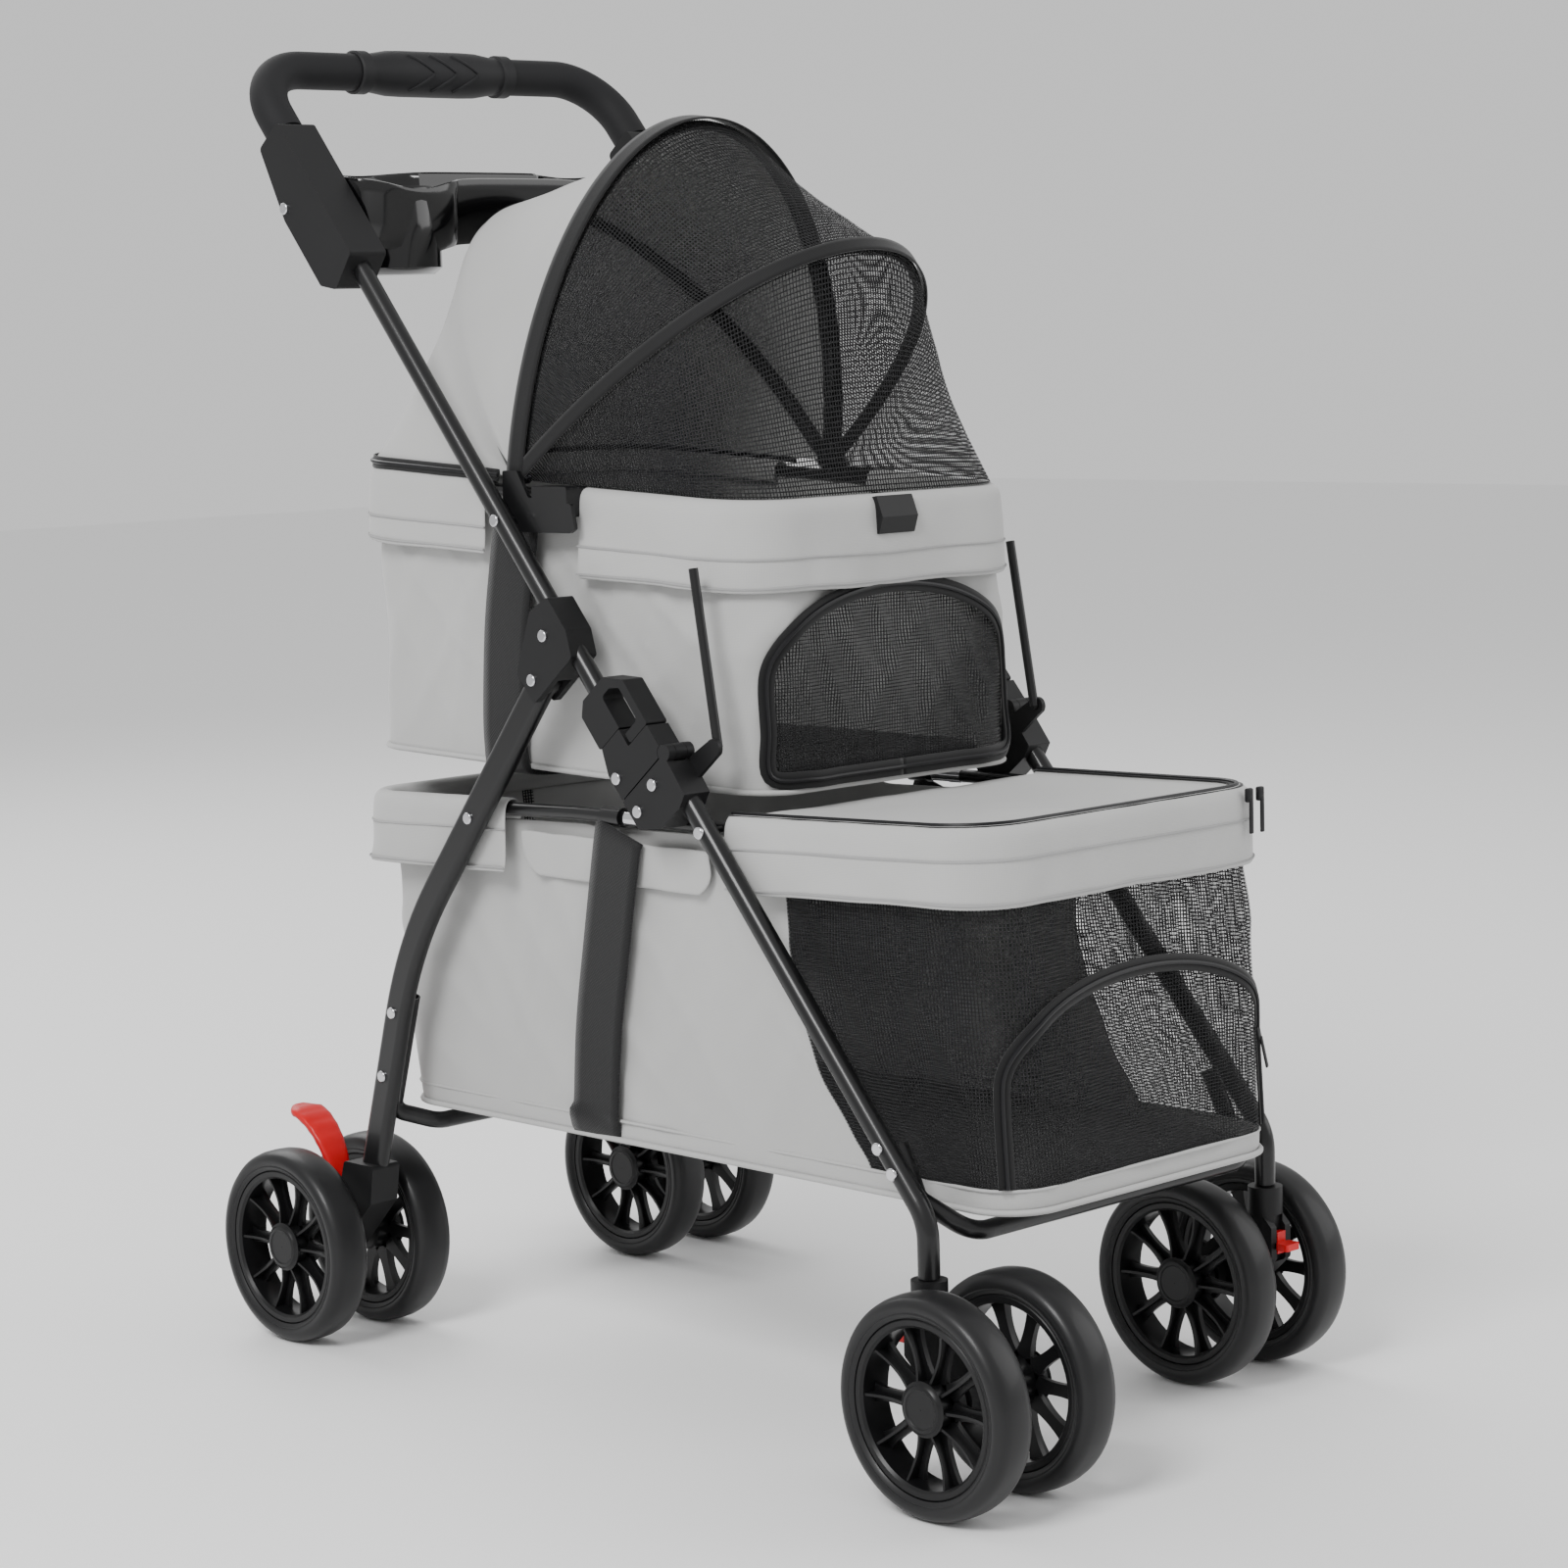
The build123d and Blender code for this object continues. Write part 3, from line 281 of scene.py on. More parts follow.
def make_finishes() -> Finishes:
    """Builds every material once.

    Returns:
        The finishes.
    """
    return Finishes(
        # Powder-coated steel: nearly black, half gloss, with a faint orange peel
        powder_coat=GrainedFinish("steel_powder_coated_black", "0b0b0c", "151516", 0.34, 0.05, 1.2, 0.02,
                                  coat=0.25).build(),
        # Bright chrome plate: a mirror with a few soft handling marks
        chrome=GrainedFinish("steel_chrome_plated", "d8d8da", "c4c4c8", 0.12, 0.05, 3.0, 0.004,
                             metallic=1.0).build(),
        # Moulded polypropylene: dark, spark-eroded texture
        moulded=GrainedFinish("polypropylene_textured_black", "101011", "1a1a1b", 0.5, 0.06, 0.7,
                              0.05).build(),
        # Polished ABS: deep black gloss with sharp highlights
        tray=GrainedFinish("abs_polished_black", "070708", "0a0a0b", 0.13, 0.04, 9.0, 0.01, coat=0.5).build(),
        # Red ABS: bright, half gloss
        red=GrainedFinish("abs_moulded_red", "d3171d", "b80f16", 0.32, 0.05, 1.0, 0.02).build(),
        # Solid EVA tyre: smooth, half matt
        tyre=GrainedFinish("eva_tyre_black", "141415", "1e1e1f", 0.42, 0.08, 1.6, 0.03, coat=0.08).build(),
        # Polypropylene wheel: half gloss
        rim=GrainedFinish("polypropylene_wheel_black", "0c0c0d", "141415", 0.36, 0.06, 0.9, 0.02).build(),
        # Closed-cell foam sleeve: matt with a fine skin
        foam=GrainedFinish("eva_foam_black", "131314", "1c1c1e", 0.72, 0.06, 0.8, 0.08).build(),
        # Soft rubber grip: matt, slightly brushed
        grip=GrainedFinish("thermoplastic_rubber_black", "141415", "202022", 0.6, 0.07, 0.6, 0.06).build(),
        wire=GrainedFinish("spring_steel_wire", "5c5c60", "47474a", 0.35, 0.08, 1.0, 0.01,
                           metallic=1.0).build(),
        # Woven polyester: light grey, plain weave, dull sheen, threads drawn at 1.1 mm
        cloth=WovenFinish("polyester_woven_light_grey", "b9b9b8", "a6a6a5", 1.1, 0.12, 0.82, 0.25).build(),
        # Polypropylene webbing: black, coarse rib
        webbing=WovenFinish("polypropylene_webbing_black", "1a1a1b", "0b0b0c", 1.9, 0.35, 0.62, 0.15,
                            diagonal=True).build(),
        binding=WovenFinish("polyester_binding_black", "161617", "09090a", 1.0, 0.15, 0.7, 0.15).build(),
        zip_teeth=GrainedFinish("nylon_zip_black", "0d0d0e", "17171a", 0.4, 0.06, 0.8, 0.05).build(),
        # Polyester net: black threads 2.2 mm apart
        net=NetFinish("polyester_net_black", "202021", 2.6, 0.25).build(),
        pad=WovenFinish("polyester_pad_dark_grey", "3a3a3b", "2a2a2b", 1.6, 0.15, 0.85, 0.2).build(),
        thread=GrainedFinish("sewing_thread_grey", "a2a2a2", "929292", 0.7, 0.05, 0.5, 0.02).build(),
    )


# ------------------------------------------------------------------------------------ mesh tools
def soft_noise(point: Vector, size_mm: float, seed: float = 0.0) -> float:
    """Smooth noise between -1 and 1.

    Args:
        point: place, mm.
        size_mm: size of its bumps.
        seed: moves the pattern.
    Returns:
        The value.
    """
    return noise.noise(point / size_mm + Vector((seed, seed * 1.7, -seed)))


def finish_piece(bm: bmesh.types.BMesh, name: str, materials: Sequence[bpy.types.Material], body: str,
                 sharp: float = 40.0) -> bpy.types.Object:
    """Turns a mesh in mm into a piece in metres.

    Args:
        bm: the mesh, used up by this.
        name: the piece's name.
        materials: its material slots.
        body: the CAD body it rides on.
        sharp: edges above this angle stay sharp, degrees.
    Returns:
        The piece.
    """
    bmesh.ops.scale(bm, vec=(MM, MM, MM), verts=bm.verts)
    mesh = bpy.data.meshes.new(name)
    bm.to_mesh(mesh)
    bm.free()
    for finish in materials:
        mesh.materials.append(finish)
    mesh.polygons.foreach_set("use_smooth", [True] * len(mesh.polygons))
    mesh.set_sharp_from_angle(angle=math.radians(sharp))
    piece = bpy.data.objects.new(name, mesh)
    bpy.context.scene.collection.objects.link(piece)
    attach(piece, body)
    return piece


def loft(rows: Sequence[Row], closed: bool) -> bmesh.types.BMesh:
    """Joins rows of points into a sheet; every row is made by extruding the one before.

    Args:
        rows: rows with the same number of points, mm.
        closed: whether each row is a loop.
    Returns:
        The sheet, with its rows and columns stored on its vertices and its UVs in metres.
    """
    bm = bmesh.new()
    row_of, column_of = bm.verts.layers.int.new("row"), bm.verts.layers.int.new("column")
    first = [bm.verts.new(point) for point in rows[0]]
    for index, vertex in enumerate(first):
        vertex[column_of] = index
    pairs = zip(first, first[1:] + first[:1]) if closed else zip(first, first[1:])
    edges = [bm.edges.new(pair) for pair in pairs]
    for number, row in enumerate(rows[1:], 1):
        made = bmesh.ops.extrude_edge_only(bm, edges=edges)["geom"]
        fresh = {v for v in made if isinstance(v, bmesh.types.BMVert)}
        edges = [e for e in made if isinstance(e, bmesh.types.BMEdge) and fresh.issuperset(e.verts)]
        for vertex in fresh:
            vertex.co = row[vertex[column_of]]
            vertex[row_of] = number
    lay_uv(bm, rows, closed)
    return bm


def lay_uv(bm: bmesh.types.BMesh, rows: Sequence[Row], closed: bool) -> None:
    """Gives a lofted sheet UVs in metres, from the lengths of its middle row and column.

    Args:
        bm: the sheet.
        rows: the rows it was made from.
        closed: whether each row is a loop.
    """
    row_of, column_of = bm.verts.layers.int["row"], bm.verts.layers.int["column"]
    uv = bm.loops.layers.uv.new("UVMap")
    widest = max(rows[::4], key=lambda row: sum((b - a).length for a, b in zip(row, row[1:])))
    around = [0.0]
    for a, b in zip(widest, widest[1:] + widest[:1]):
        around.append(around[-1] + (b - a).length * MM)
    down = [0.0]
    middle = len(rows[0]) // 4
    for a, b in zip(rows, rows[1:]):
        down.append(down[-1] + (b[middle] - a[middle]).length * MM)
    count = len(rows[0])
    for face in bm.faces:
        wraps = closed and max(v[column_of] for v in face.verts) - min(v[column_of] for v in face.verts) > 1
        for loop in face.loops:
            column = loop.vert[column_of]
            column = count if wraps and column == 0 else column
            loop[uv].uv = (around[column], down[loop.vert[row_of]])


def face_place(bm: bmesh.types.BMesh, face: bmesh.types.BMFace) -> tuple[float, float]:
    """Middle row and column of a lofted face."""
    row_of, column_of = bm.verts.layers.int["row"], bm.verts.layers.int["column"]
    count = len(face.verts)
    return sum(v[row_of] for v in face.verts) / count, sum(v[column_of] for v in face.verts) / count


def thicken(piece: bpy.types.Object, thickness: float, levels: int = 0, offset: float = 0.0) -> None:
    """Gives a sheet its thickness and rounds it.

    Args:
        piece: the sheet.
        thickness: mm.
        levels: subdivision levels.
        offset: -1 grows it inwards, 1 outwards.
    """
    wall = piece.modifiers.new("thickness", "SOLIDIFY")
    wall.thickness, wall.offset = thickness * MM, offset
    wall.use_even_offset = False
    if levels:
        smooth = piece.modifiers.new("smooth", "SUBSURF")
        smooth.levels = smooth.render_levels = levels


def resample(points: Sequence[Vector], count: int) -> Row:
    """Points at even distances along a line of points.

    Args:
        points: the line.
        count: how many points to return.
    Returns:
        The new points.
    """
    lengths = [0.0]
    for first, second in zip(points, points[1:]):
        lengths.append(lengths[-1] + (second - first).length)
    found, index = [], 0
    for step in range(count):
        wanted = lengths[-1] * step / (count - 1)
        while index < len(lengths) - 2 and lengths[index + 1] < wanted:
            index += 1
        span = max(lengths[index + 1] - lengths[index], 1e-9)
        found.append(points[index].lerp(points[index + 1],
                                        min(max((wanted - lengths[index]) / span, 0.0), 1.0)))
    return found


def smooth_line(points: Sequence[Vector], count: int) -> Row:
    """A rounded line through a few points.

    Args:
        points: places it passes.
        count: how many points to return.
    Returns:
        Points on a Catmull-Rom line.
    """
    padded = [points[0] * 2 - points[1], *points, points[-1] * 2 - points[-2]]
    dense: Row = []
    for p0, p1, p2, p3 in zip(padded, padded[1:], padded[2:], padded[3:]):
        for step in range(12):
            t = step / 12
            dense.append(0.5 * (2 * p1 + (p2 - p0) * t + (2 * p0 - 5 * p1 + 4 * p2 - p3) * t * t
                                + (3 * p1 - p0 - 3 * p2 + p3) * t ** 3))
    dense.append(points[-1].copy())
    return resample(dense, count)


def band(path: Sequence[Vector], outward: Callable[[Vector], Vector], width: float,
         across: int = 4) -> bmesh.types.BMesh:
    """A flat band along a path.

    Args:
        path: its middle line, mm.
        outward: the way it faces at a point.
        width: mm.
        across: faces across.
    Returns:
        The band as a sheet.
    """
    rows: list[Row] = []
    last = len(path) - 1
    for index, point in enumerate(path):
        along = (path[min(index + 1, last)] - path[max(index - 1, 0)]).normalized()
        beside = outward(point).cross(along).normalized()
        rows.append([point + beside * width * (step / across - 0.5) for step in range(across + 1)])
    return loft(rows, closed=False)


def tube(path: Sequence[Vector], radius: float, sides: int = 10, closed: bool = False) -> bmesh.types.BMesh:
    """A round tube along a path, with its open ends capped flat.

    Args:
        path: its middle line, mm.
        radius: mm.
        sides: faces round it.
        closed: whether the path is a loop.
    Returns:
        The tube.
    """
    last = len(path) - 1
    rows: list[Row] = []
    along = (path[1] - path[0]).normalized()
    beside = along.orthogonal().normalized()
    for index, point in enumerate(path):
        before, after = (path[index - 1], path[(index + 1) % (last + 1)]) if closed else (
            path[max(index - 1, 0)], path[min(index + 1, last)])
        along = (after - before).normalized()
        beside = (beside - along * beside.dot(along)).normalized()
        other = along.cross(beside)
        rows.append([point + (beside * math.cos(a) + other * math.sin(a)) * radius
                     for a in (2 * math.pi * step / sides for step in range(sides))])
    if closed:
        rows.append([point.copy() for point in rows[0]])
    bm = loft(rows, closed=True)
    if closed:
        bmesh.ops.remove_doubles(bm, verts=bm.verts, dist=0.05)
    else:
        bmesh.ops.holes_fill(bm, edges=[e for e in bm.edges if e.is_boundary], sides=0)
    bmesh.ops.recalc_face_normals(bm, faces=bm.faces)
    return bm


def spun(profile: Sequence[tuple[float, float]], centre: Vector, steps: int = 64) -> bmesh.types.BMesh:
    """Spins a profile of (x, radius) about an X axis.

    Args:
        profile: closed outline, mm.
        centre: a point on the axis.
        steps: faces round the axis.
    Returns:
        The closed shape.
    """
    bm = bmesh.new()
    line = [bm.verts.new(centre + Vector((x, 0.0, radius))) for x, radius in profile]
    edges = [bm.edges.new((a, b)) for a, b in zip(line, line[1:] + line[:1])]
    bmesh.ops.spin(bm, geom=[*line, *edges], cent=centre, axis=(1, 0, 0), angle=2 * math.pi, steps=steps,
                   use_merge=True)
    bmesh.ops.remove_doubles(bm, verts=bm.verts, dist=0.01)
    bmesh.ops.recalc_face_normals(bm, faces=bm.faces)
    return bm


def add_block(bm: bmesh.types.BMesh, low: Vector, high: Vector, bevel: float = 0.0,
              turn: Matrix | None = None,
              segments: int = 2) -> list[bmesh.types.BMVert]:
    """Adds a block with rounded edges.

    Args:
        bm: the mesh.
        low: its lowest corner.
        high: its highest corner.
        bevel: radius of its edges.
        turn: applied after it is made.
        segments: faces round each edge.
    Returns:
        Its vertices.
    """
    made = bmesh.ops.create_cube(bm, size=1.0)["verts"]
    size = high - low
    bmesh.ops.scale(bm, vec=size, verts=made)
    bmesh.ops.translate(bm, vec=(low + high) / 2, verts=made)
    if bevel:
        edges = list({e for v in made for e in v.link_edges})
        result = bmesh.ops.bevel(bm, geom=edges, offset=bevel, offset_type="OFFSET", segments=segments,
                                 profile=0.5,
                                 affect="EDGES", material=-1, clamp_overlap=True)
        made = list({v for f in result["faces"] for v in f.verts} | {v for v in made if v.is_valid})
        made = list({v for start in made for v in linked(start)})
    if turn is not None:
        bmesh.ops.transform(bm, matrix=turn, verts=made)
    return made


def linked(start: bmesh.types.BMVert) -> list[bmesh.types.BMVert]:
    """Every vertex joined to one."""
    found, waiting = {start}, [start]
    while waiting:
        vertex = waiting.pop()
        for edge in vertex.link_edges:
            other = edge.other_vert(vertex)
            if other not in found:
                found.add(other)
                waiting.append(other)
    return list(found)


def absorb(bm: bmesh.types.BMesh, part: bmesh.types.BMesh) -> None:
    """Adds another mesh's faces to a mesh and frees the other."""
    mesh = bpy.data.meshes.new("part")
    part.to_mesh(mesh)
    part.free()
    bm.from_mesh(mesh)
    bpy.data.meshes.remove(mesh)


def mirrored(bm: bmesh.types.BMesh) -> bmesh.types.BMesh:
    """Adds the left-hand copy of a right-hand mesh."""
    made = bmesh.ops.duplicate(bm, geom=[*bm.verts, *bm.edges, *bm.faces])["geom"]
    verts = [v for v in made if isinstance(v, bmesh.types.BMVert)]
    bmesh.ops.scale(bm, vec=(-1, 1, 1), verts=verts)
    bmesh.ops.reverse_faces(bm, faces=[f for f in made if isinstance(f, bmesh.types.BMFace)])
    return bm


# ------------------------------------------------------------------------------------ outlines
@dataclass(frozen=True)
class Outline:
    """A rounded rectangle that narrows towards the front, seen from above."""

    rear_half: float
    front_half: float
    taper_y: float
    front_y: float
    rear_y: float
    rear_corner: float = 42.0
    front_corner: float = 46.0

    def side_x(self, y: float) -> float:
        """Half width of the straight side at y."""
        share = min(max((self.taper_y - y) / (self.taper_y - self.front_y), 0.0), 1.0)
        return self.rear_half + (self.front_half - self.rear_half) * share

    def mixed(self, other: "Outline", share: float) -> "Outline":
        """An outline between this one and another."""
        names = ("rear_half", "front_half", "taper_y", "front_y", "rear_y", "rear_corner", "front_corner")
        return Outline(*[getattr(self, n) + (getattr(other, n) - getattr(self, n)) * share for n in names])

    def half(self, split_y: float, counts: Sequence[int]) -> Row:
        """The right half, from the middle of the rear to the middle of the front.

        Args:
            split_y: where the side's columns change from its rear share to its front share.
            counts: columns on the rear, its corner, the side's two shares, the front corner and the front.
        Returns:
            The points.
        """
        rear, rear_arc, side_a, side_b, front_arc, front = counts
        radius = self.rear_corner
        points = [Vector((-(self.rear_half - radius) * step / rear, self.rear_y, 0)) for step in range(rear)]
        for step in range(rear_arc):
            a = math.pi / 2 * step / rear_arc
            points.append(Vector((-self.rear_half + radius - radius * math.sin(a),
                                  self.rear_y - radius + radius * math.cos(a), 0)))
        start, stop = self.rear_y - radius, self.front_y + self.front_corner
        for step in range(side_a):
            y = start + (split_y - start) * step / side_a
            points.append(Vector((-self.side_x(y), y, 0)))
        for step in range(side_b):
            y = split_y + (stop - split_y) * step / side_b
            points.append(Vector((-self.side_x(y), y, 0)))
        radius = self.front_corner
        edge = self.side_x(stop)
        for step in range(front_arc):
            a = math.pi / 2 * step / front_arc
            points.append(Vector((-edge + radius - radius * math.cos(a), stop - radius * math.sin(a), 0)))
        for step in range(front + 1):
            points.append(Vector((-(edge - radius) * (1 - step / front), self.front_y, 0)))
        return points

    def loop(self, split_y: float = 0.0, counts: Sequence[int] = (8, 8, 20, 20, 8, 10)) -> Row:
        """The whole outline: the right half, then the left half back to the rear."""
        right = self.half(split_y, counts)
        return right + [Vector((-p.x, p.y, p.z)) for p in right[-2:0:-1]]

    def part(self, y: float, rear: bool, count: int) -> Row:
        """The outline from the right side at y, round the rear or the front, to the left side at y.

        Args:
            y: where it starts and ends.
            rear: whether it goes round the rear.
            count: how many points to return.
        Returns:
            The points.
        """
        right = self.half(y, (12, 10, 30, 30, 10, 14))
        split = 12 + 10 + 30
        run = right[:split + 1][::-1] if rear else right[split:]
        whole = run + [Vector((-p.x, p.y, p.z)) for p in run[-2::-1]]
        return resample(whole, count)


def outward_of(points: Sequence[Vector], index: int, closed: bool) -> Vector:
    """The level direction that points away from the middle at a point of a line."""
    last = len(points) - 1
    if closed:
        before, after = points[index - 1], points[(index + 1) % (last + 1)]
    else:
        before, after = points[max(index - 1, 0)], points[min(index + 1, last)]
    along = after - before
    side = Vector((along.y, -along.x, 0)).normalized()
    centre = (points[0] + points[last // 4] + points[last // 2] + points[3 * last // 4]) / 4
    return side if side.dot(points[index] - centre) >= 0 else -side


# ------------------------------------------------------------------------------------ soft goods
class Softness(Enum):
    """How strongly a cloth wall creases."""

    HUNG = 1.0


@dataclass(frozen=True)
class Fold:
    """How a soft piece flattens when the frame folds."""
    # A folding joint of the frame, and the body a soft piece rides on.

    body: str
    axis: tuple[float, float, float]
    anchor: tuple[float, float, float]
    keep: float

    def apply(self, piece: bpy.types.Object) -> bpy.types.Object:
        """Gives the piece its own copy of its mesh."""
        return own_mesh(piece)


LOWER_FOLD = Fold("front_frame", (0.0, 0.769, -0.639), (0.0, -0.060, 0.472), 0.12)
UPPER_FOLD = Fold("carriage", (0.0, -0.06, 1.0), (0.0, 0.110, 0.655), 0.14)


def crease(point: Vector, softness: Softness, seed: float) -> float:
    """How far hanging cloth stands out at a point: broad billows and a few soft diagonal creases.

    Args:
        point: place on the wall, mm.
        softness: how slack it is.
        seed: moves the pattern.
    Returns:
        Distance outwards, mm.
    """
    along = point.y if abs(point.x) > 100 else point.x
    leaned = Vector((along + 0.45 * point.z, 0.22 * point.z - 0.1 * along, seed * 40))
    billow = 4.6 * soft_noise(Vector((along, point.z * 0.7, point.x * 0.1)), 95.0, seed)
    ridge = 1 - abs(soft_noise(leaned, 46.0, seed + 3))
    counter = 1 - abs(soft_noise(Vector((along - 0.7 * point.z, 0.3 * point.z, seed * 30)), 64.0, seed + 9))
    fine = soft_noise(point, 17.0, seed + 5) * 0.35
    return softness.value * (billow + 4.4 * (ridge ** 6 - 0.3) + 3.6 * (counter ** 7 - 0.25) + fine)


@dataclass
class Tub:
    """A sewn cabin: walls between two outlines, and a floor."""

    name: str
    top: Outline
    bottom: Outline
    top_z: Callable[[float], float]
    bottom_z: Callable[[float], float]
    split: Callable[[float], float]
    counts: tuple[int, ...]
    rows: tuple[float, ...]
    softness: Softness
    seed: float

    def mesh(self) -> bmesh.types.BMesh:
        """Builds the walls and the floor as one sheet."""
        lines: list[Row] = []
        for share in self.rows:
            shape = self.top.mixed(self.bottom, share)
            height = self.top_z(0) * (1 - share) + self.bottom_z(0) * share
            flat = shape.loop(self.split(height), self.counts)
            slack = math.sin(math.pi * min(max(share, 0.0), 1.0)) ** 0.6 if 0 < share < 1 else 0.0
            row = []
            for index, point in enumerate(flat):
                place = Vector((point.x, point.y,
                                self.top_z(point.y) * (1 - share) + self.bottom_z(point.y) * share))
                row.append(place + outward_of(flat, index, True) * crease(place, self.softness,
                                                                          self.seed) * slack)
            lines.append(row)
        foot = lines[-1]
        middle = sum(foot, Vector()) / len(foot)
        for inset in (0.97, 0.86, 0.6, 0.3):
            lines.append([middle + Vector(((p.x - middle.x) * inset, (p.y - middle.y) * inset,
                                           (p.z - middle.z) * inset - 1.2))
                          for p in foot])
        bm = loft(lines, closed=True)
        row_of = bm.verts.layers.int["row"]
        inner = [e for e in bm.edges if e.is_boundary and all(v[row_of] == len(lines) - 1 for v in e.verts)]
        filled = bmesh.ops.holes_fill(bm, edges=inner, sides=0)["faces"]
        bmesh.ops.triangulate(bm, faces=filled, quad_method="BEAUTY", ngon_method="BEAUTY")
        bmesh.ops.recalc_face_normals(bm, faces=bm.faces)
        return bm


def skirt_rows(path: Sequence[Vector], height: Callable[[float], float],
               profile: Sequence[tuple[float, float]],
               wave: float, seed: float) -> list[Row]:
    """Rows of a flap that goes over a rim tube and hangs down outside it.

    Args:
        path: the rim's middle line, seen from above.
        height: the rim's height at y.
        profile: (outwards, up) from the tube's middle, mm.
        wave: how far the hem waves, mm.
        seed: moves the waves.
    Returns:
        One row for each point of the profile.
    """
    lines: list[Row] = []
    last = len(profile) - 1
    for step, (out, up) in enumerate(profile):
        loose = (max(step - 4, 0) / max(last - 4, 1)) ** 1.3
        row = []
        for index, point in enumerate(path):
            base = Vector((point.x, point.y, height(point.y)))
            along = Vector((index * 3.0, step * 5.0, seed * 50))
            puff = 0.9 * soft_noise(base + Vector((0, 0, up)), 24.0, seed) if step > 2 else 0.0
            shift = out + puff + loose * wave * (soft_noise(along, 34.0,
                                                            seed) + 0.4 * soft_noise(along, 13.0, seed + 2))
            drop = up + loose * 1.6 * soft_noise(along, 45.0, seed + 7)
            row.append(base + outward_of(path, index, False) * shift + Vector((0, 0, drop)))
        lines.append(row)
    return lines


ROLL = ((-7.5, -9.0), (-8.0, -2.0), (-6.8, 3.4), (-4.0, 6.6), (0.0, 7.8), (4.2, 6.8), (7.0, 3.4), (8.0, -2.0))


def over_rim(drop: float, flare: float) -> list[tuple[float, float]]:
    """Section of a flap: rolled over the rim, then straight down.

    Args:
        drop: how far the hem is below the rim's middle, mm.
        flare: how far the hem stands out from the roll, mm.
    Returns:
        (outwards, up) points.
    """
    steps = 7
    return list(ROLL) + [(8.0 + flare * s / steps,
                          -2.0 - (drop - 2.0) * s / steps) for s in range(1, steps + 1)]


def stitched(path: Sequence[Vector], name: str, finishes: Finishes, fold: Fold) -> None:
    """Lays a seam's thread along a path.

    Args:
        path: where it runs, on the cloth.
        name: the piece's name.
        finishes: the finishes.
        fold: what it moves with.
    """
    piece = finish_piece(tube(path, 0.8, 5), name, [finishes.thread], fold.body)
    fold.apply(piece)


def zipped(path: Sequence[Vector], outward: Callable[[Vector], Vector], name: str, finishes: Finishes,
           fold: Fold,
           width: float = 10.0) -> None:
    """Lays a zip along a path: its tape and the raised coil.

    Args:
        path: its middle line, just proud of the cloth.
        outward: the way it faces.
        name: start of the pieces' names.
        finishes: the finishes.
        fold: what it moves with.
        width: of the tape, mm.
    """
    tape = finish_piece(band(path, outward, width), f"{name}_tape", [finishes.binding], fold.body)
    thicken(tape, 1.0)
    coil = finish_piece(tube([p + outward(p).normalized() * 0.9 for p in path], 1.7, 7), f"{name}_coil",
                        [finishes.zip_teeth], fold.body)
    for piece in (tape, coil):
        fold.apply(piece)


def zip_pull(place: Vector, down: Vector, outward: Vector, name: str, finishes: Finishes, fold: Fold) -> None:
    """Hangs a slider and its pull on a zip.

    Args:
        place: the slider's middle, mm.
        down: the way the pull hangs.
        outward: the way the zip faces.
        name: the piece's name.
        finishes: the finishes.
        fold: what it moves with.
    """
    beside = outward.cross(down).normalized()
    turn = Matrix((beside, -down.normalized(), outward.normalized())).transposed().to_4x4()
    turn.translation = place
    bm = bmesh.new()
    add_block(bm, Vector((-3.2, -5.0, 0.5)), Vector((3.2, 5.0, 4.2)), 1.2, turn)
    add_block(bm, Vector((-1.9, -27.0, 3.4)), Vector((1.9, -3.0, 5.0)), 0.7, turn)
    piece = finish_piece(bm, name, [finishes.zip_teeth], fold.body)
    fold.apply(piece)


